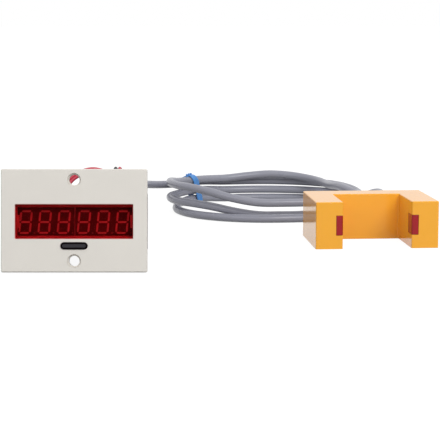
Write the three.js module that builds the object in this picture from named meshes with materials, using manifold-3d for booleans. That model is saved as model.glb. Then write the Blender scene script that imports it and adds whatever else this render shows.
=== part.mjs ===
// A panel-mount digital counter with a six-digit red display, wired by a coiled grey cable to a
// U-shaped photoelectric sensor. Millimetres, +X to the right, +Y away from the reader, +Z up.
// The counter lies as it would on a table: on the lower rear edge of its front panel and on the
// lower rear edge of its housing, so it leans back. The sensor stands on its flat underside.
import * as THREE from "three";
import { mergeVertices } from "three/addons/utils/BufferGeometryUtils.js";
import Module from "manifold-3d";

const wasm = await Module();
wasm.setup();

// Clearances and shared values
const touchGap = 0.3; // between two pieces that touch or fit into each other
const slideGap = 0.25; // round a piece that moves
const overrun = 1; // how far a cutting tool passes the face that it cuts
const roundSteps = 20; // sides of a plain round piece
const smallSteps = 12; // sides of a screw or a small bore
const bevelSteps = 1; // steps of a bevelled edge
const arcSteps = 3; // steps of a rounded corner

// Front panel
const panelWidth = 72;
const panelHeight = 51;
const panelDepth = 5;
const panelCorner = 0.8;
const panelBevel = 0.5;
const panelPlate = 2.4; // thickness of its face plate
const panelRim = 1.8; // width of the rim round its hollow back
const holePitch = 40;
const holeCentreHeight = 25.6; // mid-way between the two mounting holes
const holeBore = 5.3;
const holeStepDiameter = 6.8;
const holeStepDepth = 1.2;
const holeBossWall = 1.6;

// Display window, its red filter and the tapered frame behind it
const windowWidth = 58.4;
const windowHeight = 17.2;
const windowCentreHeight = 25.1;
const windowCorner = 0.4;
const filterRecess = 0.25;
const filterThickness = 1.5;
const filterLedge = 0.5;
const frameRearWidth = 56.8;
const frameRearHeight = 14.1;
const frameWall = 1;
const frameClipWidth = 6.5; // two small catches at mid-height of the window's ends
const frameClipReach = 0.9;
const frameClipDepth = 1.2;

// Digits
const moduleGap = 0.4;
const moduleWidth = 28.4;
const moduleHeight = 14.6;
const moduleDepth = 7.6;
const digitsPerModule = 3;
const digitPitch = 9.5;
const digitOffset = 5.0; // from the middle of the display to the nearest digit
const digitShift = -0.55; // of all digits, sideways and down, from the window's middle
const digitDrop = 0.3;
const digitHeight = 11.7;
const digitWidth = 6.2;
const digitStroke = 0.95;
const digitRise = 0.25;
const digitSegmentGap = 0.28;
const digitSlantShare = 0.1; // sideways lean per unit of height
const pointDiameter = 0.9;
const pointOffset = 4.4; // from a digit's middle line, at its foot

// Housing
const housingWidth = 66;
const housingHeight = 32;
const housingBase = 9.2; // height of its underside above the panel's lower edge
const housingDepth = 62.7;
const housingWall = 1.8;
const housingCorner = 1.5;
const spigotWall = 1.3;
const spigotDepth = 4;
const ventCount = 8;
const ventWidth = 1.6;
const ventLength = 18;
const ventPitch = 4.2;
const ventStart = 34; // from the panel to the middle of the vents
const cornerPostWidth = 5;
const cornerPostHeight = 3;
const railReach = 1.4;
const railThickness = 1.2;

// Rear cover and its screws
const coverThickness = 3;
const coverLip = 1.6; // how far its inner step enters the housing
const coverBossDiameter = 5.6;
const coverBossDepth = 14;
const coverScrewInset = 4.6;
const coverScrewDiameter = 2.6;
const coverScrewLength = 9;
const screwHeadDiameter = 4.6;
const screwHeadHeight = 1.6;
const crossWidth = 0.7;
const crossLength = 2.8;
const crossDepth = 0.8;

// Circuit boards and what they carry
const boardThickness = 1.6;
const displayBoardHeight = 26.4;
const displayBoardWidth = 60;
const mainBoardStart = 13.5; // from the panel's rear plane
const mainBoardLength = 40;
const linkWidth = 25.4;
const linkSize = 2.5;
const coreWidth = 25;
const coreHeight = 18;
const coreDepth = 10;
const coreLimb = 4.2;
const bobbinReach = 4;
const bobbinFlange = 1;
const capacitorLargeDiameter = 8;
const capacitorLargeHeight = 13;
const capacitorSmallDiameter = 6.3;
const capacitorSmallHeight = 9;
const capacitorGroove = 0.35;
const chipWidth = 22;
const chipDepth = 6.6;
const chipHeight = 3.3;
const chipPinPitch = 2.54;
const chipPinCount = 8;
const chipPinWidth = 0.6;
const chipStandoff = 0.5;
const chipNotch = 1;

// Reset button and its switch
const buttonBelowWindow = 1.55; // from the window to the slot
const buttonSlotWidth = 13.6;
const buttonSlotHeight = 3.7;
const buttonProud = 0.9;
const buttonFaceInset = 0.75;
const buttonFaceRise = 0.35;
const buttonTravel = 1;
const buttonWingReach = 1.4;
const buttonWingThickness = 0.9;
const buttonStemDiameter = 2.2;
const switchWidth = 6;
const switchHeight = 3.4;
const switchDepth = 3.1;
const plungerDiameter = 1.8;
const plungerReach = 1.5; // how far it stands out of the switch at rest
const plungerDepth = 1.2; // how far it goes inside

// Terminal block at the rear
const terminalCount = 6;
const terminalPitch = 8;
const terminalBaseDepth = 6;
const terminalHeight = 15;
const terminalCentreHeight = 25.2;
const barrierThickness = 1.5;
const barrierReach = 5.2;
const terminalFootHeight = 9;
const terminalScrewDiameter = 3;
const terminalScrewLength = 5;
const terminalHeadDiameter = 5.2;
const terminalHeadHeight = 1.9;
const lugWidth = 5.4;
const lugThickness = 0.8;
const lugForkLength = 6.5;
const lugBarrelDiameter = 3;
const lugBarrelLength = 6;
const lugFlangeShare = 0.6; // width of the neck, as a share of the fork's

// Wires
const powerWireDiameter = 1.8;
const coreWireDiameter = 1.5;
const cableDiameter = 5;
const wireSides = 8;
const cableSides = 10;
const stepDiameters = 2.4; // length of one step of a tube, in diameters
const coilSides = 6;
const coilStepsPerTurn = 24;

// Where the counter and the sensor lie
const counterX = -71.9;
const sensorX = 52;
const sensorY = 71.8;
const sensorTurn = THREE.MathUtils.degToRad(4.6);

// Sensor
const sensorWidth = 67.6;
const sensorDepth = 52.6;
const sensorHeight = 25.7;
const armWidth = 14.9;
const slotDepth = 35.9;
const sensorCorner = 0.8;
const sensorBevel = 0.35;
const sensorWall = 1.8;
const sensorRoof = 2;
const sensorPlate = 1.8;
const sensorLedge = 0.9; // inner step that the bottom plate rests against
const lensWidth = 3.8;
const lensDepth = 10.2;
const lensHeight = 11;
const lensCentreHeight = 12.9;
const lensScoop = 2.1;
const lensScoopOffset = 1.1; // how far the scoop's axis stands out from the corner
const lensBackDepth = 1.6;
const lensGap = 0.12; // between each window and its pocket
const diodeDiameter = 5;
const diodeLength = 6.2;
const diodeFlange = 5.8;
const diodeFlangeThickness = 1;
const sensorBoardThickness = 1.2;
const sensorBoardMargin = 2.2;
const sensorPostDiameter = 5;
const sensorScrewDiameter = 2.2;
const sensorScrewLength = 7;
const gromDiameter = 8;
const gromFlange = 10;
const gromLength = 12;
const gromTip = 6.6;
const gromRibs = 4;
const cableExitOffset = 12; // from the middle of the sensor's rear face
const cableExitHeight = 12.6;

// Colours
const finish = (color, roughness, metalness = 0) =>
  new THREE.MeshStandardMaterial({ color, roughness, metalness });
const cream = finish(0xddd8d2, 0.5);
const darkShell = finish(0x2c2c2e, 0.6);
const redFilter = finish(0x6a0008, 0.15);
const displayBlack = finish(0x1c0a0c, 0.4);
const buttonBlack = finish(0x28272b, 0.45);
const boardGreen = finish(0x1f5a35, 0.5);
const steel = finish(0xb9bcc0, 0.35, 1);
const brass = finish(0xc79a4b, 0.35, 1);
const lamination = finish(0x6f7276, 0.5, 0.8);
const windingYellow = finish(0xd8b23c, 0.6);
const sleeveBlue = finish(0x23386b, 0.4);
const chipBlack = finish(0x161617, 0.5);
const blockBlack = finish(0x202022, 0.55);
const orange = finish(0xf5ad43, 0.3);
const redLens = finish(0xa53742, 0.15);
const clearDiode = finish(0x5a4a6a, 0.15);
const cableGrey = finish(0x7d8088, 0.5);
const tieBlue = finish(0x3f86d6, 0.45);
const redWire = finish(0xb8303a, 0.45);
const blackWire = finish(0x2b2b2e, 0.45);
const blueWire = finish(0x2a56a8, 0.45);

// Solids: each helper gives a closed manifold, and "pieceOf" turns one into a named mesh
const V = (x, y, z) => new THREE.Vector3(x, y, z);

function solidOf(geometry) {
  const bare = geometry.clone();
  bare.deleteAttribute("normal");
  bare.deleteAttribute("uv");
  const merged = mergeVertices(bare, 1e-4);
  return new wasm.Manifold(
    new wasm.Mesh({
      numProp: 3,
      vertProperties: new Float32Array(merged.attributes.position.array),
      triVerts: new Uint32Array(merged.index.array),
    }),
  );
}

function pieceOf(name, solid, material) {
  const mesh = solid.getMesh();
  const geometry = new THREE.BufferGeometry();
  geometry.setAttribute("position", new THREE.BufferAttribute(mesh.vertProperties, 3));
  geometry.setIndex(new THREE.BufferAttribute(mesh.triVerts, 1));
  geometry.computeVertexNormals();
  const piece = new THREE.Mesh(geometry, material);
  piece.name = name;
  return piece;
}

const joined = (solids) => solids.reduce((whole, next) => whole.add(next));

// A box between two corners
function block(x0, x1, y0, y1, z0, z1) {
  const geometry = new THREE.BoxGeometry(x1 - x0, y1 - y0, z1 - z0);
  geometry.translate((x0 + x1) / 2, (y0 + y1) / 2, (z0 + z1) / 2);
  return solidOf(geometry);
}

// A round bar along Y or Z, from one end to the other
function barY(radius, y0, y1, x, z, sides = roundSteps) {
  const geometry = new THREE.CylinderGeometry(radius, radius, y1 - y0, sides);
  geometry.translate(x, (y0 + y1) / 2, z);
  return solidOf(geometry);
}

function barZ(radius, z0, z1, x, y, sides = roundSteps) {
  const geometry = new THREE.CylinderGeometry(radius, radius, z1 - z0, sides);
  geometry.rotateX(Math.PI / 2);
  geometry.translate(x, y, (z0 + z1) / 2);
  return solidOf(geometry);
}

// A turned piece: a profile of [radius, height] points from axis to axis, along +Z
function turned(profile, sides = roundSteps) {
  const points = profile.map(([radius, height]) => new THREE.Vector2(radius, height));
  const geometry = new THREE.LatheGeometry(points, sides);
  geometry.rotateX(Math.PI / 2);
  return solidOf(geometry);
}

// A rectangle with rounded corners, centred on (x, y)
function roundedRectangle(width, height, radius, x = 0, y = 0) {
  const shape = new THREE.Shape();
  const right = width / 2 - radius;
  const top = height / 2 - radius;
  const quarter = Math.PI / 2;
  shape.absarc(x + right, y + top, radius, 0, quarter);
  shape.absarc(x - right, y + top, radius, quarter, 2 * quarter);
  shape.absarc(x - right, y - top, radius, 2 * quarter, 3 * quarter);
  shape.absarc(x + right, y - top, radius, 3 * quarter, 4 * quarter);
  shape.closePath();
  return shape;
}

// An outline in the X-Z plane, made solid from y0 (nearest) to y1, its near edges bevelled
function plateXZ(shape, y0, y1, bevel = 0) {
  const geometry = new THREE.ExtrudeGeometry(shape, {
    depth: y1 - y0,
    curveSegments: arcSteps,
    bevelEnabled: bevel > 0,
    bevelThickness: bevel,
    bevelSize: bevel,
    bevelOffset: -bevel,
    bevelSegments: bevelSteps,
  });
  geometry.rotateX(Math.PI / 2);
  geometry.translate(0, y1 + bevel, 0);
  const solid = solidOf(geometry);
  return bevel > 0 ? solid.trimByPlane([0, -1, 0], -y1) : solid;
}

// An outline in the X-Y plane, made solid from z0 to z1, its upper edges bevelled
function plateXY(shape, z0, z1, bevel = 0) {
  const geometry = new THREE.ExtrudeGeometry(shape, {
    depth: z1 - z0,
    curveSegments: arcSteps,
    bevelEnabled: bevel > 0,
    bevelThickness: bevel,
    bevelSize: bevel,
    bevelOffset: -bevel,
    bevelSegments: bevelSteps,
  });
  geometry.translate(0, 0, z0 - bevel);
  const solid = solidOf(geometry);
  return bevel > 0 ? solid.trimByPlane([0, 0, 1], z0) : solid;
}

// A closed outline through corner points, each corner rounded
function roundedOutline(corners, radius) {
  const points = corners.map(([x, y]) => new THREE.Vector2(x, y));
  const shape = new THREE.Shape();
  points.forEach((corner, i) => {
    const before = points[(i + points.length - 1) % points.length];
    const after = points[(i + 1) % points.length];
    const start = corner.clone().add(before.clone().sub(corner).setLength(radius));
    const end = corner.clone().add(after.clone().sub(corner).setLength(radius));
    if (i === 0) shape.moveTo(start.x, start.y);
    else shape.lineTo(start.x, start.y);
    shape.quadraticCurveTo(corner.x, corner.y, end.x, end.y);
  });
  shape.closePath();
  return shape;
}

// A box that tapers along Y between two rectangles centred on height z
function taperY(width0, height0, y0, width1, height1, y1, z) {
  const geometry = new THREE.BoxGeometry(1, y1 - y0, 1);
  const places = geometry.attributes.position;
  for (let i = 0; i < places.count; i++) {
    const rear = places.getY(i) > 0;
    places.setX(i, places.getX(i) * (rear ? width1 : width0));
    places.setZ(i, places.getZ(i) * (rear ? height1 : height0));
  }
  geometry.translate(0, (y0 + y1) / 2, z);
  return solidOf(geometry);
}

// A screw along Y, its head outwards at y1, with a cross recess
function screwY(diameter, headDiameter, headHeight, length, y1, x, z) {
  const headBase = y1 - headHeight;
  const shank = barY(diameter / 2, headBase - length, headBase + headHeight / 2, x, z, smallSteps);
  const head = barY(headDiameter / 2, headBase, y1, x, z, smallSteps);
  const recess = joined([
    block(-crossLength / 2, crossLength / 2, -crossDepth, overrun, -crossWidth / 2, crossWidth / 2),
    block(-crossWidth / 2, crossWidth / 2, -crossDepth, overrun, -crossLength / 2, crossLength / 2),
  ]).translate([x, y1, z]);
  return shank.add(head).subtract(recess);
}

// Places that several pieces share, in the counter's own frame: y = 0 is the panel's rear plane
// and z = 0 its lower edge
const panelFace = -panelDepth;
const plateBack = panelFace + panelPlate;
const housingTop = housingBase + housingHeight;
const housingMiddle = housingBase + housingHeight / 2;
const innerWidth = housingWidth - 2 * housingWall;
const innerHeight = housingHeight - 2 * housingWall;
const innerBase = housingBase + housingWall;
const innerTop = housingTop - housingWall;
const spigotWidth = innerWidth - 2 * touchGap;
const spigotHeight = innerHeight - 2 * touchGap;
const filterFront = panelFace + filterRecess;
const filterSeat = filterFront + filterThickness + touchGap;
const moduleFront = touchGap;
const displayBoardFront = moduleFront + moduleDepth + touchGap;
const displayBoardBack = displayBoardFront + boardThickness;
const coverFront = housingDepth + touchGap;
const coverBack = coverFront + coverThickness;
const coverScrewX = housingWidth / 2 - coverScrewInset;
const coverScrewRise = housingHeight / 2 - coverScrewInset;
const coverScrewPlaces = [-1, 1].flatMap((side) =>
  [-1, 1].map((level) => [side * coverScrewX, housingMiddle + level * coverScrewRise]),
);
const mainBoardBottom = housingMiddle - coverScrewRise + coverBossDiameter / 2 + touchGap;
const mainBoardTop = mainBoardBottom + boardThickness;
const mainBoardEnd = mainBoardStart + mainBoardLength;
const switchBack = displayBoardFront - touchGap;
const switchFront = switchBack - switchDepth;
const plungerTip = switchFront - plungerReach;
const terminalBase = coverBack + touchGap;
const terminalFace = terminalBase + terminalBaseDepth;
const terminalWidth = terminalCount * terminalPitch + barrierThickness;
const terminalFootWidth = terminalWidth - 2 * barrierThickness;
const terminalX = (i) => (i - (terminalCount - 1) / 2) * terminalPitch;
const lugBack = terminalFace + touchGap;
const lugBarrelY = lugBack + lugBarrelDiameter / 2;
const lugNeckTop = terminalCentreHeight + lugForkLength / 2;
const lugTop = lugNeckTop + lugBarrelLength;
const wiredTerminals = [0, 1, 3, 4, 5];
const buttonHeightCentre =
  windowCentreHeight - windowHeight / 2 - buttonBelowWindow - buttonSlotHeight / 2;

// The counter leans until the panel's and the cover's lower rear edges are level
const lean = Math.atan2(housingBase, coverBack);

function counterPoint(x, y, z) {
  return V(x, y, z).applyAxisAngle(V(1, 0, 0), -lean).add(V(counterX, 0, 0));
}

// Front panel: a face plate with a rim, a shoulder and spigot for the housing, the display's
// tapered frame, two stepped mounting holes and the button's slot
function frontPanel() {
  const middle = panelHeight / 2;
  const outline = roundedRectangle(panelWidth, panelHeight, panelCorner, 0, middle);
  const hollow = roundedRectangle(
    panelWidth - 2 * panelRim,
    panelHeight - 2 * panelRim,
    panelCorner,
    0,
    middle,
  );
  const buried = plateBack - panelPlate / 2;
  const windowBase = windowCentreHeight - windowHeight / 2;
  const windowTop = windowCentreHeight + windowHeight / 2;
  const frameHalf = windowWidth / 2 + frameWall;
  const holeHeights = [-1, 1].map((side) => holeCentreHeight + (side * holePitch) / 2);
  const bossRadius = holeBore / 2 + holeBossWall;
  const shoulder = roundedRectangle(housingWidth, housingHeight, housingCorner, 0, housingMiddle);
  const spigot = roundedRectangle(spigotWidth, spigotHeight, housingCorner, 0, housingMiddle);
  const spigotHollowWidth = spigotWidth - 2 * spigotWall;
  const spigotHollowHeight = spigotHeight - 2 * spigotWall;
  const spigotHollow = roundedRectangle(
    spigotHollowWidth,
    spigotHollowHeight,
    housingCorner / 2,
    0,
    housingMiddle,
  );

  const shell = plateXZ(outline, panelFace, 0, panelBevel).subtract(
    plateXZ(hollow, plateBack, overrun),
  );
  const ring = plateXZ(shoulder, buried, 0)
    .add(plateXZ(spigot, buried, spigotDepth))
    .subtract(plateXZ(spigotHollow, plateBack, spigotDepth + overrun));
  const posts = [-1, 1].flatMap((side) =>
    [-1, 1].map((level) => {
      const x = side * (spigotWidth / 2 - cornerPostWidth / 2);
      const z = housingMiddle + level * (spigotHeight / 2 - cornerPostHeight / 2);
      return block(
        x - cornerPostWidth / 2,
        x + cornerPostWidth / 2,
        buried,
        displayBoardFront - touchGap,
        z - cornerPostHeight / 2,
        z + cornerPostHeight / 2,
      );
    }),
  );
  const frame = block(-frameHalf, frameHalf, buried, 0, windowBase - frameWall, windowTop + frameWall);
  const bosses = holeHeights.map((z) => barY(bossRadius, buried, 0, 0, z));

  const seatShare = overrun / -filterSeat; // the taper's growth past its rear end
  const seatWidth = windowWidth - 2 * filterLedge;
  const seatHeight = windowHeight - 2 * filterLedge;
  const taper = taperY(
    seatWidth,
    seatHeight,
    filterSeat - touchGap / 2,
    frameRearWidth + (frameRearWidth - seatWidth) * seatShare,
    frameRearHeight + (frameRearHeight - seatHeight) * seatShare,
    overrun,
    windowCentreHeight,
  );
  const pocket = plateXZ(
    roundedRectangle(windowWidth, windowHeight, windowCorner, 0, windowCentreHeight),
    panelFace - overrun,
    filterSeat,
  );
  const clips = [-1, 1].map((side) => {
    const x = side * (frameRearWidth / 2 + (frameWall - frameClipReach) / 2);
    const half = (frameWall + frameClipReach) / 2;
    return block(
      x - half,
      x + half,
      -frameClipDepth,
      0,
      windowCentreHeight - frameClipWidth / 2,
      windowCentreHeight + frameClipWidth / 2,
    );
  });
  const holes = holeHeights.flatMap((z) => [
    barY(holeBore / 2, panelFace - overrun, overrun, 0, z),
    barY(holeStepDiameter / 2, panelFace - overrun, panelFace + holeStepDepth, 0, z),
  ]);
  const slot = plateXZ(
    roundedRectangle(buttonSlotWidth, buttonSlotHeight, buttonSlotHeight / 2, 0, buttonHeightCentre),
    panelFace - overrun,
    plateBack + overrun,
  );
  const notchHalf = buttonSlotWidth / 2 + buttonWingReach + slideGap;
  const notch = block(
    -notchHalf,
    notchHalf,
    plateBack,
    spigotDepth + overrun,
    housingBase - overrun,
    buttonHeightCentre + buttonSlotHeight / 2,
  );

  return joined([shell, ring.subtract(notch), frame, ...posts, ...bosses])
    .subtract(joined([pocket, taper, slot, ...holes]))
    .add(joined(clips));
}

function displayFilter() {
  const outline = roundedRectangle(
    windowWidth - 2 * slideGap,
    windowHeight - 2 * slideGap,
    windowCorner,
    0,
    windowCentreHeight,
  );
  return plateXZ(outline, filterFront, filterFront + filterThickness);
}

// One bar of a digit: a six-cornered outline, standing on the module's face
function segment(x, z, length, upright) {
  const half = digitStroke / 2;
  const run = length / 2 - digitSegmentGap;
  const corners = [
    [-run, 0],
    [half - run, -half],
    [run - half, -half],
    [run, 0],
    [run - half, half],
    [half - run, half],
  ];
  const shape = new THREE.Shape(
    corners.map(([a, b]) => (upright ? new THREE.Vector2(x - b, z + a) : new THREE.Vector2(x + a, z + b))),
  );
  return plateXZ(shape, -digitRise, digitRise);
}

function digit(x) {
  const wide = digitWidth - digitStroke;
  const tall = digitHeight - digitStroke;
  const levels = [-1, 0, 1].map((level) => segment(0, (level * tall) / 2, wide, false));
  const sides = [-1, 1].flatMap((side) =>
    [-1, 1].map((level) => segment((side * wide) / 2, (level * tall) / 4, tall / 2, true)),
  );
  const lit = joined([...levels, ...sides]);
  const point = barY(pointDiameter / 2, -digitRise, digitRise, pointOffset, -tall / 2, smallSteps);
  return lit
    .warp((vertex) => {
      vertex[0] += vertex[2] * digitSlantShare;
    })
    .add(point)
    .translate([x + digitShift, 0, windowCentreHeight - digitDrop]);
}

function displayModule(side) {
  const inner = moduleGap / 2;
  const outer = inner + moduleWidth;
  const [x0, x1] = side > 0 ? [inner, outer] : [-outer, -inner];
  const body = block(
    x0,
    x1,
    moduleFront + digitRise,
    moduleFront + moduleDepth,
    windowCentreHeight - moduleHeight / 2,
    windowCentreHeight + moduleHeight / 2,
  );
  const digits = Array.from({ length: digitsPerModule }, (_, i) =>
    digit(side * (digitOffset + i * digitPitch)).translate([0, moduleFront + digitRise, 0]),
  );
  return joined([body, ...digits]);
}

function displayBoard() {
  return block(
    -displayBoardWidth / 2,
    displayBoardWidth / 2,
    displayBoardFront,
    displayBoardBack,
    housingMiddle - displayBoardHeight / 2,
    housingMiddle + displayBoardHeight / 2,
  );
}

// Reset button: a cap with a raised face, two wings that keep it in the panel, and a stem
function resetButton() {
  const capWidth = buttonSlotWidth - 2 * slideGap;
  const capHeight = buttonSlotHeight - 2 * slideGap;
  const wingFront = plateBack + slideGap;
  const wingBack = wingFront + buttonWingThickness;
  const capFront = panelFace - buttonProud;
  const cap = plateXZ(
    roundedRectangle(capWidth, capHeight, capHeight / 2, 0, buttonHeightCentre),
    capFront,
    wingBack,
    buttonFaceRise,
  );
  const faceHeight = capHeight - 2 * buttonFaceInset;
  const face = plateXZ(
    roundedRectangle(capWidth - 2 * buttonFaceInset, faceHeight, faceHeight / 2, 0, buttonHeightCentre),
    capFront - buttonFaceRise,
    capFront + buttonFaceRise,
    buttonFaceRise / 2,
  );
  const wingHalf = buttonSlotWidth / 2 + buttonWingReach - slideGap;
  const wings = block(
    -wingHalf,
    wingHalf,
    wingFront,
    wingBack,
    buttonHeightCentre - capHeight / 2,
    buttonHeightCentre + capHeight / 2,
  );
  const stem = barY(
    buttonStemDiameter / 2,
    wingBack - buttonWingThickness / 2,
    plungerTip - touchGap,
    0,
    buttonHeightCentre,
  );
  return joined([cap, face, wings, stem]);
}

function resetSwitch() {
  const body = block(
    -switchWidth / 2,
    switchWidth / 2,
    switchFront,
    switchBack,
    buttonHeightCentre - switchHeight / 2,
    buttonHeightCentre + switchHeight / 2,
  );
  const bore = barY(
    plungerDiameter / 2 + slideGap,
    switchFront - overrun,
    switchFront + plungerDepth + buttonTravel + slideGap,
    0,
    buttonHeightCentre,
  );
  return body.subtract(bore);
}

function switchPlunger() {
  return barY(plungerDiameter / 2, plungerTip, switchFront + plungerDepth, 0, buttonHeightCentre);
}

// Housing: a sleeve with vent slots above and below, board rails and four screw bosses
function housingShell() {
  const outer = roundedRectangle(housingWidth, housingHeight, housingCorner, 0, housingMiddle);
  const inner = roundedRectangle(innerWidth, innerHeight, housingCorner / 2, 0, housingMiddle);
  const sleeve = plateXZ(outer, touchGap, housingDepth).subtract(
    plateXZ(inner, touchGap - overrun, housingDepth + overrun),
  );
  const vents = Array.from({ length: ventCount }, (_, i) => {
    const x = (i - (ventCount - 1) / 2) * ventPitch;
    return block(
      x - ventWidth / 2,
      x + ventWidth / 2,
      ventStart - ventLength / 2,
      ventStart + ventLength / 2,
      housingBase - overrun,
      housingTop + overrun,
    );
  });
  const bosses = coverScrewPlaces.map(([x, z]) =>
    barY(coverBossDiameter / 2, housingDepth - coverBossDepth, housingDepth, x, z).add(
      block(
        Math.min(x, Math.sign(x) * (innerWidth / 2 + housingWall / 2)),
        Math.max(x, Math.sign(x) * (innerWidth / 2 + housingWall / 2)),
        housingDepth - coverBossDepth,
        housingDepth,
        z - coverBossDiameter / 2,
        z + coverBossDiameter / 2,
      ),
    ),
  );
  const bores = coverScrewPlaces.map(([x, z]) =>
    barY(
      coverScrewDiameter / 2 + touchGap,
      housingDepth - coverScrewLength,
      housingDepth + overrun,
      x,
      z,
      smallSteps,
    ),
  );
  const rails = [-1, 1].flatMap((side) =>
    [mainBoardBottom - touchGap - railThickness, mainBoardTop + touchGap].map((z) => {
      const wall = side * (innerWidth / 2 + housingWall / 2);
      const edge = side * (innerWidth / 2 - railReach);
      return block(
        Math.min(wall, edge),
        Math.max(wall, edge),
        mainBoardStart,
        housingDepth - coverLip - touchGap,
        z,
        z + railThickness,
      );
    }),
  );
  return joined([sleeve.subtract(joined(vents)), ...rails, ...bosses]).subtract(joined(bores));
}

function rearCover() {
  const outer = roundedRectangle(housingWidth, housingHeight, housingCorner, 0, housingMiddle);
  const lipHalf = coverScrewX - coverBossDiameter / 2 - touchGap;
  const plate = plateXZ(outer, coverFront, coverBack);
  const lip = block(
    -lipHalf,
    lipHalf,
    housingDepth - coverLip,
    coverFront + coverThickness / 2,
    innerBase + touchGap,
    innerTop - touchGap,
  ).subtract(
    block(
      housingWall - lipHalf,
      lipHalf - housingWall,
      housingDepth - coverLip - overrun,
      coverFront,
      innerBase + touchGap + housingWall,
      innerTop - touchGap - housingWall,
    ),
  );
  const opening = block(
    -terminalFootWidth / 2 - touchGap,
    terminalFootWidth / 2 + touchGap,
    coverFront - overrun,
    coverBack + overrun,
    terminalCentreHeight - terminalFootHeight / 2 - touchGap,
    terminalCentreHeight + terminalFootHeight / 2 + touchGap,
  );
  const seats = coverScrewPlaces.flatMap(([x, z]) => [
    barY(
      coverScrewDiameter / 2 + touchGap,
      coverFront - overrun,
      coverBack + overrun,
      x,
      z,
      smallSteps,
    ),
    barY(
      screwHeadDiameter / 2 + touchGap,
      coverBack - screwHeadHeight - touchGap,
      coverBack + overrun,
      x,
      z,
      smallSteps,
    ),
  ]);
  return plate.add(lip).subtract(joined([opening, ...seats]));
}

function mainBoard() {
  const half = innerWidth / 2 - touchGap;
  return block(-half, half, mainBoardStart, mainBoardEnd, mainBoardBottom, mainBoardTop);
}

// The pin strip that joins the display board to the main board
function boardLink() {
  const strip = block(
    -linkWidth / 2,
    linkWidth / 2,
    displayBoardBack + touchGap,
    mainBoardStart + linkSize,
    mainBoardTop + touchGap,
    mainBoardTop + touchGap + linkSize,
  );
  return strip;
}

// Transformer: a laminated core with two windows, and the bobbin wound on its middle limb
const coreX = -innerWidth / 4;
const coreY = mainBoardEnd - coverBossDepth - touchGap;
const coreBase = mainBoardTop + touchGap;
const coreWindowWidth = (coreWidth - 4 * coreLimb) / 2;
const coreWindowHeight = coreHeight - 2 * coreLimb;

function transformerCore() {
  const body = block(
    coreX - coreWidth / 2,
    coreX + coreWidth / 2,
    coreY - coreDepth / 2,
    coreY + coreDepth / 2,
    coreBase,
    coreBase + coreHeight,
  );
  const windows = [-1, 1].map((side) => {
    const x = coreX + side * (coreLimb + coreWindowWidth / 2);
    return block(
      x - coreWindowWidth / 2,
      x + coreWindowWidth / 2,
      coreY - coreDepth / 2 - overrun,
      coreY + coreDepth / 2 + overrun,
      coreBase + coreLimb,
      coreBase + coreLimb + coreWindowHeight,
    );
  });
  return body.subtract(joined(windows));
}

function transformerBobbin() {
  const half = coreLimb + coreWindowWidth - touchGap;
  const hole = coreLimb + touchGap;
  const reach = coreDepth / 2 + bobbinReach;
  const base = coreBase + coreLimb + touchGap;
  const top = coreBase + coreLimb + coreWindowHeight - touchGap;
  const flanges = [base, top - bobbinFlange].map((z) =>
    block(coreX - half, coreX + half, coreY - reach, coreY + reach, z, z + bobbinFlange),
  );
  const winding = block(
    coreX - half + bobbinFlange / 2,
    coreX + half - bobbinFlange / 2,
    coreY - reach + bobbinFlange / 2,
    coreY + reach - bobbinFlange / 2,
    base,
    top,
  );
  const limb = block(
    coreX - hole,
    coreX + hole,
    coreY - coreDepth / 2 - touchGap,
    coreY + coreDepth / 2 + touchGap,
    base - overrun,
    top + overrun,
  );
  return joined([winding, ...flanges]).subtract(limb);
}

// An upright capacitor: a can with the crimped groove near its foot
function capacitor(diameter, height, x, y) {
  const r = diameter / 2;
  const groove = r - capacitorGroove;
  return turned([
    [0, 0],
    [r, 0],
    [r, 2 * capacitorGroove],
    [groove, 3 * capacitorGroove],
    [groove, 4 * capacitorGroove],
    [r, 5 * capacitorGroove],
    [r, height - capacitorGroove],
    [groove, height],
    [0, height],
  ], smallSteps).translate([x, y, mainBoardTop + touchGap]);
}

// The counting chip: a package with an end notch and two rows of pins
function counterChip() {
  const x = innerWidth / 4;
  const y = mainBoardStart + linkSize + chipDepth;
  const foot = mainBoardTop + touchGap;
  const base = foot + chipStandoff;
  const body = block(
    x - chipWidth / 2,
    x + chipWidth / 2,
    y - chipDepth / 2,
    y + chipDepth / 2,
    base,
    base + chipHeight,
  ).subtract(barZ(chipNotch, base + chipHeight / 2, base + chipHeight + overrun, x - chipWidth / 2, y));
  const pins = [-1, 1].flatMap((side) =>
    Array.from({ length: chipPinCount }, (_, i) => {
      const pinX = x + (i - (chipPinCount - 1) / 2) * chipPinPitch;
      const edge = y + (side * chipDepth) / 2;
      return block(
        pinX - chipPinWidth / 2,
        pinX + chipPinWidth / 2,
        edge - chipPinWidth,
        edge + chipPinWidth,
        foot,
        base + chipHeight / 2,
      );
    }),
  );
  return joined([body, ...pins]);
}

// Terminal block: a foot through the cover, a base with screw bores, and barriers between
function terminalBlock() {
  const base = block(
    -terminalWidth / 2,
    terminalWidth / 2,
    terminalBase,
    terminalFace,
    terminalCentreHeight - terminalHeight / 2,
    terminalCentreHeight + terminalHeight / 2,
  );
  const foot = block(
    -terminalFootWidth / 2,
    terminalFootWidth / 2,
    coverFront,
    terminalBase + terminalBaseDepth / 2,
    terminalCentreHeight - terminalFootHeight / 2,
    terminalCentreHeight + terminalFootHeight / 2,
  );
  const barriers = Array.from({ length: terminalCount + 1 }, (_, i) => {
    const x = (i - terminalCount / 2) * terminalPitch;
    return block(
      x - barrierThickness / 2,
      x + barrierThickness / 2,
      terminalFace - terminalBaseDepth / 2,
      terminalFace + barrierReach,
      terminalCentreHeight - terminalHeight / 2,
      terminalCentreHeight + terminalHeight / 2,
    );
  });
  const bores = Array.from({ length: terminalCount }, (_, i) =>
    barY(
      terminalScrewDiameter / 2 + touchGap,
      terminalFace - terminalScrewLength,
      terminalFace + overrun,
      terminalX(i),
      terminalCentreHeight,
      smallSteps,
    ),
  );
  return joined([base, foot, ...barriers]).subtract(joined(bores));
}

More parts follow.
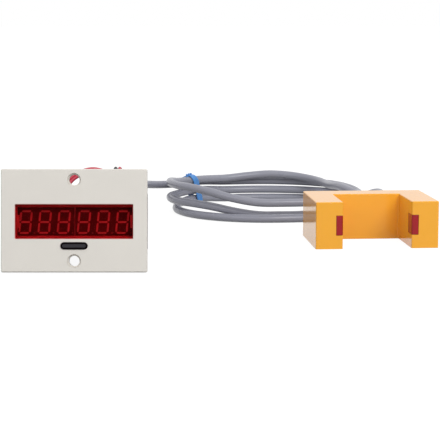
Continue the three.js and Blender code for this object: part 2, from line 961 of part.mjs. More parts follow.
function terminalScrew(i) {
  const stack = wiredTerminals.includes(i) ? lugThickness + touchGap : 0;
  const headBack = terminalFace + touchGap + stack;
  return screwY(
    terminalScrewDiameter,
    terminalHeadDiameter,
    terminalHeadHeight,
    headBack - terminalFace + terminalScrewLength - touchGap,
    headBack + terminalHeadHeight,
    terminalX(i),
    terminalCentreHeight,
  );
}

// A fork lug: two prongs round the screw, a neck and the barrel that grips the wire
function wireLug(i) {
  const x = terminalX(i);
  const forkBase = terminalCentreHeight - lugForkLength / 2;
  const half = lugWidth / 2;
  const plate = block(x - half, x + half, lugBack, lugBack + lugThickness, forkBase, lugNeckTop);
  const prongGap = terminalScrewDiameter / 2 + touchGap;
  const gap = block(
    x - prongGap,
    x + prongGap,
    lugBack - overrun,
    lugBack + lugThickness + overrun,
    forkBase - overrun,
    terminalCentreHeight,
  ).add(
    barY(
      prongGap,
      lugBack - overrun,
      lugBack + lugThickness + overrun,
      x,
      terminalCentreHeight,
      smallSteps,
    ),
  );
  const neck = block(
    x - half * lugFlangeShare,
    x + half * lugFlangeShare,
    lugBack,
    lugBack + lugThickness,
    lugNeckTop - lugThickness,
    lugNeckTop + lugBarrelLength / 2,
  );
  const barrel = barZ(lugBarrelDiameter / 2, lugNeckTop, lugTop, x, lugBarrelY, smallSteps);
  return joined([plate.subtract(gap), neck, barrel]);
}

// Sensor: places in its own frame, from the left front corner, y away and z up
const rightArm = sensorWidth - armWidth;

function sensorOutline(inset, radius) {
  const corners = [
    [inset, inset],
    [armWidth - inset, inset],
    [armWidth - inset, slotDepth + inset],
    [rightArm + inset, slotDepth + inset],
    [rightArm + inset, inset],
    [sensorWidth - inset, inset],
    [sensorWidth - inset, sensorDepth - inset],
    [inset, sensorDepth - inset],
  ];
  return roundedOutline(corners, radius);
}

const barMiddle = (slotDepth + sensorDepth) / 2;
const postInset = sensorWall + sensorPostDiameter / 2 + touchGap;
const sensorPosts = [
  [armWidth / 2, slotDepth / 2],
  [sensorWidth - armWidth / 2, slotDepth / 2],
  [postInset, sensorDepth - postInset],
  [sensorWidth - postInset, sensorDepth - postInset],
];
const cavityTop = sensorHeight - sensorRoof;
const plateTop = sensorPlate + touchGap;
const cableExitX = sensorWidth / 2 + cableExitOffset;
const lensBase = lensCentreHeight - lensHeight / 2;
const lensTop = lensCentreHeight + lensHeight / 2;
const lensMiddleY = lensDepth / 2;
// The mirror image of a left-arm solid, in the right arm
const mirrored = (solid) => solid.mirror([1, 0, 0]).translate([sensorWidth, 0, 0]);

function lensNotch(gap) {
  const inner = armWidth - lensWidth + gap;
  return block(inner, armWidth + overrun, -overrun, lensDepth - gap, lensBase + gap, lensTop - gap);
}

function sensorHousing() {
  const shell = plateXY(sensorOutline(0, sensorCorner), 0, sensorHeight, sensorBevel);
  const cavity = plateXY(sensorOutline(sensorWall, sensorCorner), -overrun, cavityTop);
  const rebate = plateXY(sensorOutline(sensorLedge, sensorCorner), -overrun, plateTop);
  const posts = sensorPosts.map(([x, y]) =>
    barZ(sensorPostDiameter / 2, plateTop, cavityTop + sensorRoof / 2, x, y, smallSteps),
  );
  const bores = sensorPosts.map(([x, y]) =>
    barZ(
      sensorScrewDiameter / 2 + touchGap,
      plateTop - overrun,
      sensorScrewLength + touchGap,
      x,
      y,
      smallSteps,
    ),
  );
  const exit = barY(
    gromDiameter / 2 + touchGap,
    sensorDepth - sensorWall - overrun,
    sensorDepth + overrun,
    cableExitX,
    cableExitHeight,
  );
  const notch = lensNotch(0);
  return shell
    .subtract(cavity.add(rebate))
    .add(joined(posts))
    .subtract(joined([exit, notch, mirrored(notch), ...bores]));
}

const sensorHeadHeight = sensorPlate / 2;

function sensorBottom() {
  const plate = plateXY(sensorOutline(sensorLedge + touchGap, sensorCorner), 0, sensorPlate);
  const seats = sensorPosts.flatMap(([x, y]) => [
    barZ(
      sensorScrewDiameter / 2 + touchGap,
      -overrun,
      sensorPlate + overrun,
      x,
      y,
      smallSteps,
    ),
    barZ(
      screwHeadDiameter / 2 + touchGap,
      -overrun,
      sensorHeadHeight + touchGap,
      x,
      y,
      smallSteps,
    ),
  ]);
  return plate.subtract(joined(seats));
}

function sensorScrew([x, y]) {
  const head = barZ(screwHeadDiameter / 2, touchGap / 2, sensorHeadHeight, x, y, smallSteps);
  const shank = barZ(
    sensorScrewDiameter / 2,
    sensorHeadHeight / 2,
    sensorScrewLength,
    x,
    y,
    smallSteps,
  );
  const recess = joined([
    block(-crossLength / 2, crossLength / 2, -crossWidth / 2, crossWidth / 2, -overrun, crossDepth),
    block(-crossWidth / 2, crossWidth / 2, -crossLength / 2, crossLength / 2, -overrun, crossDepth),
  ]).translate([x, y, 0]);
  return head.add(shank).subtract(recess);
}

// A red window in the left arm's inner front corner: its corner edge is scooped out, and it is
// hollow behind, where the diode looks through it
function lensLeft() {
  const solid = block(
    armWidth - lensWidth + lensGap,
    armWidth,
    0,
    lensDepth - lensGap,
    lensBase + lensGap,
    lensTop - lensGap,
  );
  const scoop = barZ(
    lensScoop,
    lensBase - overrun,
    lensTop + overrun,
    armWidth + lensScoopOffset,
    -lensScoopOffset,
  );
  const hollow = block(
    armWidth - lensWidth - overrun,
    armWidth - lensBackDepth,
    2 * lensBackDepth,
    lensDepth - lensBackDepth,
    lensBase + lensBackDepth,
    lensTop - lensBackDepth,
  );
  return solid.subtract(scoop).subtract(hollow);
}

// The diode behind the left window, domed towards the slot
const diodeTip = armWidth - lensBackDepth - touchGap;
const diodeBack = diodeTip - diodeLength;

function diodeLeft() {
  const r = diodeDiameter / 2;
  const dome = Array.from({ length: arcSteps + 1 }, (_, i) => {
    const angle = (i / arcSteps) * (Math.PI / 2);
    return [r * Math.cos(angle), diodeLength - r + r * Math.sin(angle)];
  });
  dome[arcSteps][0] = 0;
  return turned([
    [0, 0],
    [diodeFlange / 2, 0],
    [diodeFlange / 2, diodeFlangeThickness],
    [r, diodeFlangeThickness],
    ...dome,
  ], smallSteps)
    .rotate([0, 90, 0])
    .translate([diodeBack, lensMiddleY + lensBackDepth / 2, lensCentreHeight]);
}

function diodeBoardLeft() {
  const x1 = diodeBack - touchGap;
  return block(
    x1 - sensorBoardThickness,
    x1,
    sensorWall + touchGap,
    slotDepth / 2 - sensorPostDiameter / 2 - touchGap,
    plateTop,
    cavityTop - touchGap,
  );
}

function sensorBoard() {
  const x0 = postInset + sensorPostDiameter / 2 + sensorBoardMargin;
  return block(
    x0,
    sensorWidth - x0,
    barMiddle - sensorBoardThickness / 2,
    barMiddle + sensorBoardThickness / 2,
    plateTop,
    cavityTop - touchGap,
  );
}

// The ribbed sleeve that holds the cable where it leaves the sensor
function cableSleeve() {
  const flangeEnd = 2 * touchGap;
  const wallEnd = flangeEnd + 2 * touchGap + sensorWall;
  const rib = (gromLength - 2 * touchGap) / (2 * gromRibs);
  const ribs = Array.from({ length: gromRibs }, (_, i) => {
    const share = i / gromRibs;
    const radius = (gromFlange + (gromTip - gromFlange) * share) / 2 - touchGap;
    const start = wallEnd + 2 * i * rib;
    return [
      [radius, start],
      [radius, start + rib],
      [gromTip / 2 - touchGap, start + rib],
      [gromTip / 2 - touchGap, start + 2 * rib],
    ];
  }).flat();
  return turned([
    [0, -flangeEnd],
    [gromFlange / 2, -flangeEnd],
    [gromFlange / 2, flangeEnd],
    [gromDiameter / 2, flangeEnd],
    [gromDiameter / 2, wallEnd],
    ...ribs,
    [0, wallEnd + 2 * gromRibs * rib],
  ])
    .rotate([-90, 0, 0])
    .translate([cableExitX, sensorDepth - sensorWall - flangeEnd - touchGap, cableExitHeight]);
}

// Wires and cable. A route is a smooth curve through its points; where it isn't coiled, the
// points are chosen by hand, in the frame in which the counter's lower rear edge has y = 0.
const smooth = (points) => new THREE.CatmullRomCurve3(points, false, "centripetal");

function polygon(diameter, sides) {
  const shape = new THREE.Shape();
  for (let i = 0; i < sides; i++) {
    const angle = ((i + 0.5) / sides) * 2 * Math.PI;
    const x = (diameter / 2) * Math.cos(angle);
    const y = (diameter / 2) * Math.sin(angle);
    if (i === 0) shape.moveTo(x, y);
    else shape.lineTo(x, y);
  }
  shape.closePath();
  return shape;
}

function tube(curve, diameter, sides, steps) {
  const geometry = new THREE.ExtrudeGeometry(polygon(diameter, sides), {
    steps,
    extrudePath: curve,
    bevelEnabled: false,
  });
  return solidOf(geometry);
}

function wire(points, diameter, sides = wireSides) {
  const curve = smooth(points);
  const steps = Math.ceil(curve.getLength() / (stepDiameters * diameter));
  return tube(curve, diameter, sides, steps);
}

// The coil: a flat oval of turns, wound clockwise seen from above, one layer on another. At each
// quarter turn from the back, the layer that it lies in and how far it strays outwards.
const coilCentreX = 28.4;
const coilCentreY = 228;
const coilHalfWidth = 60.5;
const coilHalfDepth = 54;
const coilBase = 2.7;
const coilLayer = 5.5;
const coilClimbStartShares = [0.5, 0.2, 0, 0]; // where in each quarter turn a strand changes layer
const coilClimbSpanShares = [0.5, 0.5, 0.55, 0.5]; // and the part of the quarter that it takes
const coilGatherShare = 0.4; // the part of the quarter before the tie in which strands gather
const coilSagShare = 0.6; // how far the last strand dips under the tie's pull, in layers
const coilSagQuarter = 11;
const coilTurns = 3.17;
const coilStart = THREE.MathUtils.degToRad(145);
const coilLead = 6; // the straight ends
const coilLayerShares = [2, 1.7, 0.25, 1.25, 1, 0.55, 0, 0, 0, 1.75, 1.8, 3.1, 2.95, 2.7];
const coilStrayShares = [0.6, 0.1, -1.15, 0, 0, 1, 0, -0.8, 0, 2.9, 0.2, 0, -0.5, -0.5];
const tieAngle = THREE.MathUtils.degToRad(138);
const tieLift = 1.5; // the tie passes under the coil
const tieLiftReach = THREE.MathUtils.degToRad(16);

function coilPoint(angle) {
  const quarter = (Math.PI / 2 - angle) / (Math.PI / 2);
  const before = Math.max(0, Math.floor(quarter));
  const t = Math.max(0, quarter - before);
  const climbStart = coilClimbStartShares[before % 4];
  const climbEnd = climbStart + coilClimbSpanShares[before % 4];
  const climb = THREE.MathUtils.smoothstep(t, climbStart, climbEnd);
  const sag = before === coilSagQuarter ? coilSagShare * Math.sin(Math.PI * t) : 0;
  const ease = THREE.MathUtils.smoothstep(t, 0, before % 4 === 3 ? coilGatherShare : 1);
  const blend = (shares, by) => shares[before] + (shares[before + 1] - shares[before]) * by;
  const fromTie = THREE.MathUtils.euclideanModulo(angle - tieAngle + Math.PI, 2 * Math.PI) - Math.PI;
  const lift = tieLift * Math.exp(-((fromTie / tieLiftReach) ** 2));
  const stray = blend(coilStrayShares, ease) * cableDiameter;
  return V(
    coilCentreX + (coilHalfWidth + stray) * Math.cos(angle),
    coilCentreY + (coilHalfDepth + stray) * Math.sin(angle),
    coilBase + coilLayer * (blend(coilLayerShares, climb) - sag) + lift,
  );
}

const coilSteps = Math.round(coilTurns * coilStepsPerTurn);
const coilRoute = Array.from({ length: coilSteps + 1 }, (_, i) =>
  coilPoint(coilStart - (2 * Math.PI * i) / coilStepsPerTurn),
);
const straightOn = (from, to, length) => to.clone().add(to.clone().sub(from).setLength(length));
const coilIn = straightOn(coilRoute[1], coilRoute[0], coilLead);
const coilOut = straightOn(coilRoute[coilSteps - 1], coilRoute[coilSteps], coilLead);
const coilCurve = smooth([coilIn, ...coilRoute, coilOut]);

function coil() {
  return tube(coilCurve, cableDiameter, coilSides, coilSteps + 2);
}

// The coil's least gap to itself, on points that lie at least half a turn apart along it
function leastCoilGap() {
  const perTurn = 4 * coilStepsPerTurn;
  const points = coilCurve.getSpacedPoints(perTurn * Math.ceil(coilTurns));
  const apart = Math.round(points.length / coilTurns / 3);
  const gaps = points.flatMap((p, i) => points.slice(i + apart).map((q) => p.distanceTo(q)));
  return gaps.reduce((least, gap) => Math.min(least, gap), Infinity) - cableDiameter;
}

// The sensor's frame, placed beside the counter
function sensorPoint(x, y, z) {
  return V(x, y, z).applyAxisAngle(V(0, 0, 1), sensorTurn).add(V(sensorX, sensorY, 0));
}

const lugExit = (i) => counterPoint(terminalX(i), lugBarrelY, lugTop + touchGap);
const powerRoutes = [
  [
    lugExit(0),
    V(-91, 79, 29),
    V(-87.5, 80.6, 32.4),
    V(-83.6, 82, 36.1),
    V(-79.3, 83, 39.4),
    V(-74.5, 83.7, 41.9),
    V(-69.2, 84.4, 42.7),
    V(-63.4, 86.2, 41.2),
    V(-58.6, 90, 38),
    V(-55.6, 94.3, 32.2),
    V(-54.8, 98.5, 24.5),
    V(-57, 103.5, 15.5),
    V(-61, 108.3, 8),
    V(-66.5, 112.7, 2.8),
    V(-73.5, 116, 1.2),
    V(-81.5, 117.5, 1.2),
    V(-89.5, 116, 1.2),
    V(-96, 112, 1.2),
  ],
  [
    lugExit(1),
    V(-83.5, 79.2, 29.5),
    V(-82.6, 80.4, 34),
    V(-79.9, 81.5, 37.2),
    V(-75, 82.3, 39.9),
    V(-69.4, 83, 40.6),
    V(-64.2, 85.2, 39),
    V(-60.6, 88.8, 35.5),
    V(-59, 92.5, 30),
    V(-59.3, 96, 22),
    V(-61.6, 100, 13.5),
    V(-65.5, 104, 6.3),
    V(-71, 107.5, 2),
    V(-78, 109.5, 1.2),
    V(-86, 109.5, 1.2),
    V(-93, 106.5, 1.2),
  ],
];

const cableStart = V(-50.1, 101.2, 4.7);
const coreRoutes = {
  sensor_core_blue: [
    lugExit(3),
    V(-67.4, 79, 29.5),
    V(-65.5, 80, 33),
    V(-62, 81.6, 34.6),
    V(-58.6, 83.8, 33.2),
    V(-55.6, 86.4, 29),
    V(-53.2, 88.6, 22.5),
    V(-51.3, 90.2, 14.5),
    V(-50.4, 93.6, 7.6),
    V(-50.1, 97.5, 3.9),
    V(-50.1, cableStart.y - touchGap, 3.6),
  ],
  sensor_core_black: [
    lugExit(4),
    V(-59.7, 79, 31),
    V(-58.8, 80.6, 37.5),
    V(-57.6, 82.8, 42.4),
    V(-57, 86, 42.9),
    V(-55.9, 88.8, 38.5),
    V(-54.4, 90.8, 31.5),
    V(-53, 91.8, 23.5),
    V(-51.9, 92.6, 15.5),
    V(-51.5, 94.8, 9.2),
    V(-51.2, 98, 5.8),
    V(-51.2, cableStart.y - touchGap, 5.3),
  ],
  sensor_core_red: [
    lugExit(5),
    V(-52.2, 79, 31),
    V(-53.5, 80.6, 37.5),
    V(-55, 82.8, 42.4),
    V(-54.8, 86, 42.9),
    V(-53.2, 88.8, 38.5),
    V(-51.8, 90.8, 31.5),
    V(-50.4, 91.8, 23.5),
    V(-49.2, 92.6, 15.5),
    V(-49, 94.8, 9.2),
    V(-49, 98, 5.8),
    V(-49, cableStart.y - touchGap, 5.3),
  ],
};

const counterCableRoute = [
  cableStart,
  V(-50.2, 110, 3.4),
  V(-50.6, 122, 2.8),
  V(-51.2, 138, 2.8),
  V(-52, 155, 2.9),
  V(-52.8, 172, 4.4),
  V(-53.4, 188, 8.2),
  V(-53.8, 201, 12.2),
  V(-53.4, 213, 15.4),
  V(-51.6, 224, 17),
  V(-47.6, 234.4, 16.8),
  straightOn(coilRoute[0], coilIn, 3 * coilLead).add(V(0, 0, 2 * touchGap)),
  straightOn(coilRoute[0], coilIn, coilLead),
  straightOn(coilRoute[0], coilIn, touchGap),
];
const sleeveEnd = sensorDepth - sensorWall - 3 * touchGap + gromLength + 2 * touchGap + sensorWall;
const sensorCableRoute = [
  straightOn(coilRoute[coilSteps], coilOut, touchGap),
  straightOn(coilRoute[coilSteps], coilOut, coilLead / 2),
  V(48.6, 276.6, 18.2),
  V(55, 273, 17.5),
  V(61, 267, 16.9),
  V(65.6, 258.5, 16.5),
  V(68.4, 247.5, 16.4),
  V(70.2, 234.5, 16.9),
  V(71.6, 220.5, 17.9),
  V(73.2, 206.5, 19.3),
  V(75.6, 193.5, 19.9),
  V(80, 181.5, 18.9),
  V(85.4, 170.5, 16.4),
  V(89.4, 160.8, 13.9),
  sensorPoint(cableExitX, sleeveEnd + 2 * cableDiameter, cableExitHeight),
  sensorPoint(cableExitX, sleeveEnd + cableDiameter, cableExitHeight),
  sensorPoint(cableExitX, sleeveEnd + touchGap, cableExitHeight),
];

// The tie: a flat band drawn tight round the strands where they lie together, its two twisted
// ends laid outwards over the top
const tieWidth = 5;
const tieThickness = 1;
const tieTail = 4.4; // length of its two twisted ends
const tieTailHeight = 1.4;
const tieTailOffset = 0.75; // from the band's middle to each end's middle

function cableTie() {
  const middle = coilPoint(tieAngle);
  const along = Math.atan2(coilHalfDepth * Math.cos(tieAngle), -coilHalfWidth * Math.sin(tieAngle));
  const turn = along - Math.PI / 2;
  const places = Array.from({ length: Math.ceil(coilTurns) }, (_, i) =>
    coilPoint(tieAngle - 2 * Math.PI * i).sub(middle).applyAxisAngle(V(0, 0, 1), -turn),
  );
  const hull = (radius, reach) =>
    wasm.Manifold.hull(places.map((place) => barY(radius, -reach, reach, place.x, place.z)));
  const inside = cableDiameter / 2 + 2 * touchGap;
  const band = hull(inside + tieThickness, tieWidth / 2).subtract(hull(inside, tieWidth / 2 + overrun));
  const top = places.reduce((best, place) => (place.z > best.z ? place : best));
  const tails = [-1, 1].map((side) =>
    block(
      top.x,
      top.x + tieTail,
      side * tieTailOffset - tieThickness / 2,
      side * tieTailOffset + tieThickness / 2,
      top.z + inside,
      top.z + inside + tieTailHeight,
    ),
  );
  return joined([band, ...tails])
    .rotate([0, 0, THREE.MathUtils.radToDeg(turn)])
    .translate([middle.x, middle.y, middle.z]);
}

// Assembly
const counter = new THREE.Group();
counter.position.x = counterX;
counter.rotation.x = -lean;
counter.add(
  pieceOf("front_bezel", frontPanel(), cream),
  pieceOf("display_filter", displayFilter(), redFilter),
  pieceOf("led_module_left", displayModule(-1), displayBlack),
  pieceOf("led_module_right", displayModule(1), displayBlack),
  pieceOf("display_board", displayBoard(), boardGreen),
  pieceOf("reset_button", resetButton(), buttonBlack),
  pieceOf("reset_switch", resetSwitch(), chipBlack),
  pieceOf("switch_plunger", switchPlunger(), buttonBlack),
  pieceOf("housing_shell", housingShell(), darkShell),
  pieceOf("rear_cover", rearCover(), darkShell),
  pieceOf("main_board", mainBoard(), boardGreen),
  pieceOf("board_link", boardLink(), chipBlack),
  pieceOf("transformer_core", transformerCore(), lamination),
  pieceOf("transformer_bobbin", transformerBobbin(), windingYellow),
  pieceOf(
    "capacitor_large",
    capacitor(capacitorLargeDiameter, capacitorLargeHeight, innerWidth / 8, coreY),
    sleeveBlue,
  ),
  pieceOf(
    "capacitor_small",
    capacitor(capacitorSmallDiameter, capacitorSmallHeight, innerWidth / 4, coreY),
    sleeveBlue,
  ),
  pieceOf("counter_chip", counterChip(), chipBlack),
  pieceOf("terminal_block", terminalBlock(), blockBlack),
);
coverScrewPlaces.forEach(([x, z], i) => {
  const solid = screwY(
    coverScrewDiameter,
    screwHeadDiameter,
    screwHeadHeight,
    coverScrewLength - screwHeadHeight,
    coverBack - touchGap / 2,
    x,
    z,
  );
  counter.add(pieceOf("cover_screw_" + (i + 1), solid, steel));
});
for (let i = 0; i < terminalCount; i++) {
  counter.add(pieceOf("terminal_screw_" + (i + 1), terminalScrew(i), steel));
}
wiredTerminals.forEach((i) => counter.add(pieceOf("wire_lug_" + (i + 1), wireLug(i), brass)));

const sensor = new THREE.Group();
sensor.position.set(sensorX, sensorY, 0);
sensor.rotation.z = sensorTurn;
sensor.add(
  pieceOf("sensor_housing", sensorHousing(), orange),
  pieceOf("sensor_bottom", sensorBottom(), orange),
  pieceOf("sensor_lens_left", lensLeft(), redLens),
  pieceOf("sensor_lens_right", mirrored(lensLeft()), redLens),
  pieceOf("sensor_emitter", diodeLeft(), clearDiode),
  pieceOf("sensor_receiver", mirrored(diodeLeft()), clearDiode),
  pieceOf("emitter_board", diodeBoardLeft(), boardGreen),
  pieceOf("receiver_board", mirrored(diodeBoardLeft()), boardGreen),
  pieceOf("sensor_board", sensorBoard(), boardGreen),
  pieceOf("cable_sleeve", cableSleeve(), blockBlack),
);
sensorPosts.forEach((place, i) =>
  sensor.add(pieceOf("sensor_screw_" + (i + 1), sensorScrew(place), steel)),
);

const cords = new THREE.Group();
powerRoutes.forEach((route, i) =>
  cords.add(pieceOf("power_lead_" + (i + 1), wire(route, powerWireDiameter), redWire)),
);
cords.add(
  pieceOf("cable_from_counter", wire(counterCableRoute, cableDiameter, cableSides), cableGrey),
  pieceOf("cable_coil", coil(), cableGrey),
  pieceOf("cable_to_sensor", wire(sensorCableRoute, cableDiameter, cableSides), cableGrey),
  pieceOf("cable_tie", cableTie(), tieBlue),
);

const cores = new THREE.Group();
const coreFinishes = { sensor_core_blue: blueWire, sensor_core_black: blackWire, sensor_core_red: redWire };
Object.entries(coreRoutes).forEach(([name, route]) =>
  cores.add(pieceOf(name, wire(route, coreWireDiameter), coreFinishes[name])),
);

console.log("least gap of the coil to itself: " + leastCoilGap().toFixed(2) + " mm");
[...powerRoutes, counterCableRoute, sensorCableRoute].forEach((route, i) =>
  console.log("route " + (i + 1) + ": " + smooth(route).getLength().toFixed(1) + " mm"),
);
console.log("coil: " + coilCurve.getLength().toFixed(1) + " mm");

// The origin is under the middle of the counter and the sensor, on the surface they stand on
const rigid = new THREE.Group();
rigid.add(counter, sensor, cores);
rigid.updateMatrixWorld(true);
const middle = new THREE.Box3().setFromObject(rigid, true).getCenter(V(0, 0, 0));
const digitalCounter = new THREE.Group();
digitalCounter.add(rigid, cords);
digitalCounter.position.set(-middle.x, -middle.y, 0);

export default digitalCounter;
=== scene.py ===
# The looks of a digital counter wired to a U-shaped photoelectric sensor. Metres, in the packed
# frame: +X to the right, +Y away from the reader, +Z up. The counter's own frame has y = 0 at the
# rear plane of its panel and z = 0 at its lower edge, and leans back with the housing.
import math

import bmesh
import bpy
from mathutils import Matrix, Vector


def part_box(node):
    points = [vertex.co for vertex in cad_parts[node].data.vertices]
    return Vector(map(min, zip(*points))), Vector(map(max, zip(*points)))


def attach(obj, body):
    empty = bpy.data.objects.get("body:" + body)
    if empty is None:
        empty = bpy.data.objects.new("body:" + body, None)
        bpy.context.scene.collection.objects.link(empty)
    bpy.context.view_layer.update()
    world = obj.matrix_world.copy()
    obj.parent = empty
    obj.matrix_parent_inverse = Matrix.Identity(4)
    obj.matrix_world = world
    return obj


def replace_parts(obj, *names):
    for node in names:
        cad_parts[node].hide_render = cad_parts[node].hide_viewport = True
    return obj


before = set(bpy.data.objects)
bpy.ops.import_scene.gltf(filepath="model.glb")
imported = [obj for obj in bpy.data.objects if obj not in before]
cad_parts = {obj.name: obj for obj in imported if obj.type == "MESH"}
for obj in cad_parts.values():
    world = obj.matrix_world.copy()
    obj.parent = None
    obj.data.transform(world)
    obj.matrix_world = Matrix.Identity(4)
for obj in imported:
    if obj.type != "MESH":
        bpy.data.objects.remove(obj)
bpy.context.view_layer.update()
MM = 0.001
ROOT = "counter_and_sensor"

# Sizes that repeat the part's
PANEL_WIDTH = 72 * MM
PANEL_DEPTH = 5 * MM
HOUSING_BASE = 9.2 * MM
COVER_BACK = 66 * MM
COUNTER_X = -71.9 * MM
SENSOR_X = 52 * MM
SENSOR_Y = 71.8 * MM
SENSOR_TURN = math.radians(4.6)
SENSOR_WIDTH = 67.6 * MM
SENSOR_DEPTH = 52.6 * MM
SLEEVE_LENGTH = 12 * MM
CABLE_EXIT_OFFSET = 12 * MM
CABLE_EXIT_HEIGHT = 12.6 * MM
TOUCH = 0.3 * MM
CABLE = 5 * MM
POWER_WIRE = 1.8 * MM
CORE_WIRE = 1.5 * MM

# Where the part's layout, the counter's own frame and the sensor's own frame lie
LEAN = math.atan2(HOUSING_BASE, COVER_BACK)
panel_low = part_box("front_bezel")[0]
LAYOUT = Vector(
    (
        panel_low.x - COUNTER_X + PANEL_WIDTH / 2,
        panel_low.y + PANEL_DEPTH * math.cos(LEAN),
        0,
    )
)
COUNTER = (
    Matrix.Translation(LAYOUT + Vector((COUNTER_X, 0, 0))) @ Matrix.Rotation(-LEAN, 4, "X")
)
SENSOR = (
    Matrix.Translation(LAYOUT + Vector((SENSOR_X, SENSOR_Y, 0)))
    @ Matrix.Rotation(SENSOR_TURN, 4, "Z")
)


# Camera: the photograph's viewing angle, in front of the layout's origin. The photograph's width
# and the focal length are in pixels, the film in millimetres, and the tilt in degrees downwards.
PHOTO_WIDTH = 440
FOCAL_LENGTH = 1500
FILM_WIDTH = 36
CAMERA_DISTANCE = 0.733
CAMERA_HEIGHT = 0.1278
CAMERA_TILT = 7.9
CLIP_END = 50


def make_camera():
    data = bpy.data.cameras.new("camera")
    data.sensor_width = FILM_WIDTH
    data.lens = FILM_WIDTH * FOCAL_LENGTH / PHOTO_WIDTH
    data.clip_end = CLIP_END
    camera = bpy.data.objects.new("camera", data)
    bpy.context.scene.collection.objects.link(camera)
    camera.location = LAYOUT + Vector((0, -CAMERA_DISTANCE, CAMERA_HEIGHT))
    camera.rotation_euler = (math.radians(90 - CAMERA_TILT), 0, 0)
    bpy.context.scene.camera = camera


make_camera()


# Materials. A noise is used over its middle range, from NOISE_LOW to NOISE_HIGH.
SCREEN_MAX = 255
NOISE_LOW = 0.3
NOISE_HIGH = 0.7
NOISE_DETAIL = 3
WAVE_DETAIL = 1
STRAND_DETAIL = 2
LAMINATION_SCALE = 300


def linear(r, g, b):
    """A colour given as it shows on a screen, 0 to 255, in the renderer's linear values. The
    numbers are those of the sRGB curve."""
    def one(v):
        v = v / SCREEN_MAX
        return v / 12.92 if v <= 0.04045 else ((v + 0.055) / 1.055) ** 2.4

    return (one(r), one(g), one(b), 1)


class Finish:
    """A principled material with its nodes at hand."""

    def __init__(self, name, color, roughness, **sockets):
        self.material = bpy.data.materials.new(name)
        self.material.use_nodes = True
        self.tree = self.material.node_tree
        self.shader = self.tree.nodes["Principled BSDF"]
        self.output = self.tree.nodes["Material Output"]
        self.color = linear(*color)
        self.set("Base Color", self.color)
        self.set("Roughness", roughness)
        for socket, value in sockets.items():
            self.set(socket.replace("_", " "), value)
        self.height = None

    def set(self, socket, value):
        self.shader.inputs[socket].default_value = value

    def node(self, kind, **inputs):
        made = self.tree.nodes.new(kind)
        for name, value in inputs.items():
            made.inputs[name.replace("_", " ")].default_value = value
        return made

    def link(self, start, end):
        self.tree.links.new(start, end)

    def noise(self, size, detail=NOISE_DETAIL):
        """A noise in the object's own place, with features of about that size in metres."""
        place = self.node("ShaderNodeTexCoord")
        made = self.node("ShaderNodeTexNoise", Scale=1 / size, Detail=detail)
        self.link(place.outputs["Object"], made.inputs["Vector"])
        return made.outputs["Fac"]

    def spread(self, fac, low, high):
        """The factor, with its middle range mapped to low..high."""
        made = self.node(
            "ShaderNodeMapRange",
            From_Min=NOISE_LOW,
            From_Max=NOISE_HIGH,
            To_Min=low,
            To_Max=high,
        )
        self.link(fac, made.inputs["Value"])
        return made.outputs["Result"]

    def mottle(self, size, share):
        """Lets the colour's value drift up and down by a share."""
        hue = self.node("ShaderNodeHueSaturation", Color=self.color)
        self.link(self.spread(self.noise(size), 1 - share, 1 + share), hue.inputs["Value"])
        self.link(hue.outputs["Color"], self.shader.inputs["Base Color"])

    def gloss(self, size, low, high):
        """Lets the roughness drift between two values."""
        self.link(self.spread(self.noise(size), low, high), self.shader.inputs["Roughness"])

    def bump(self, fac, depth):
        """Adds a relief of that depth, in metres, to what is there."""
        made = self.node("ShaderNodeBump", Strength=1.0, Distance=depth)
        self.link(fac, made.inputs["Height"])
        if self.height:
            self.link(self.height, made.inputs["Normal"])
        self.height = made.outputs["Normal"]
        self.link(self.height, self.shader.inputs["Normal"])


def surface(name, color, roughness, mottle, grain, gloss=None, wave=None, **sockets):
    """A finish whose drifts and reliefs are given in millimetres: mottle is a size and a share,
    gloss a size and two roughnesses, and grain and wave are a size and a depth."""
    f = Finish(name, color, roughness, **sockets)
    size, share = mottle
    f.mottle(size * MM, share)
    if gloss:
        size, low, high = gloss
        f.gloss(size * MM, low, high)
    size, depth = grain
    f.bump(f.noise(size * MM), depth * MM)
    if wave:
        size, depth = wave
        f.bump(f.noise(size * MM, WAVE_DETAIL), depth * MM)
    return f.material


def red_window():
    """Clear red plastic, through which the light falls on the display behind it."""
    f = Finish(
        "red_window",
        (228, 100, 106),
        0.05,
        Transmission_Weight=1.0,
        IOR=1.05,
        Specular_IOR_Level=0.2,
    )
    f.bump(f.noise(9 * MM, WAVE_DETAIL), depth=0.01 * MM)
    through = f.node("ShaderNodeBsdfTransparent", Color=linear(240, 100, 104))
    rays = f.node("ShaderNodeLightPath")
    mixed = f.node("ShaderNodeMixShader")
    f.link(rays.outputs["Is Shadow Ray"], mixed.inputs["Fac"])
    f.link(f.shader.outputs["BSDF"], mixed.inputs[1])
    f.link(through.outputs["BSDF"], mixed.inputs[2])
    f.link(mixed.outputs["Shader"], f.output.inputs["Surface"])
    return f.material


def laminations():
    """Sheets of iron on edge."""
    f = Finish("laminations", (120, 122, 126), 0.5, Metallic=0.7)
    f.mottle(2 * MM, share=0.1)
    layers = f.node("ShaderNodeTexWave", Scale=LAMINATION_SCALE)
    layers.bands_direction = "Y"
    place = f.node("ShaderNodeTexCoord")
    f.link(place.outputs["Object"], layers.inputs["Vector"])
    f.bump(layers.outputs["Fac"], depth=0.06 * MM)
    return f.material


def sheath(name, color, roughness, size):
    """Smooth PVC over wire, with a faint waviness of the strands under it. What a thicker cable
    shows is larger, so most sizes are multiples of its own."""
    f = Finish(name, color, roughness, Specular_IOR_Level=0.5)
    f.mottle(8 * size, share=0.04)
    f.gloss(3 * size, low=roughness - 0.06, high=roughness + 0.08)
    f.bump(f.noise(0.25 * MM), depth=0.01 * MM)
    f.bump(f.noise(1.6 * size, STRAND_DETAIL), depth=0.03 * size)
    return f.material


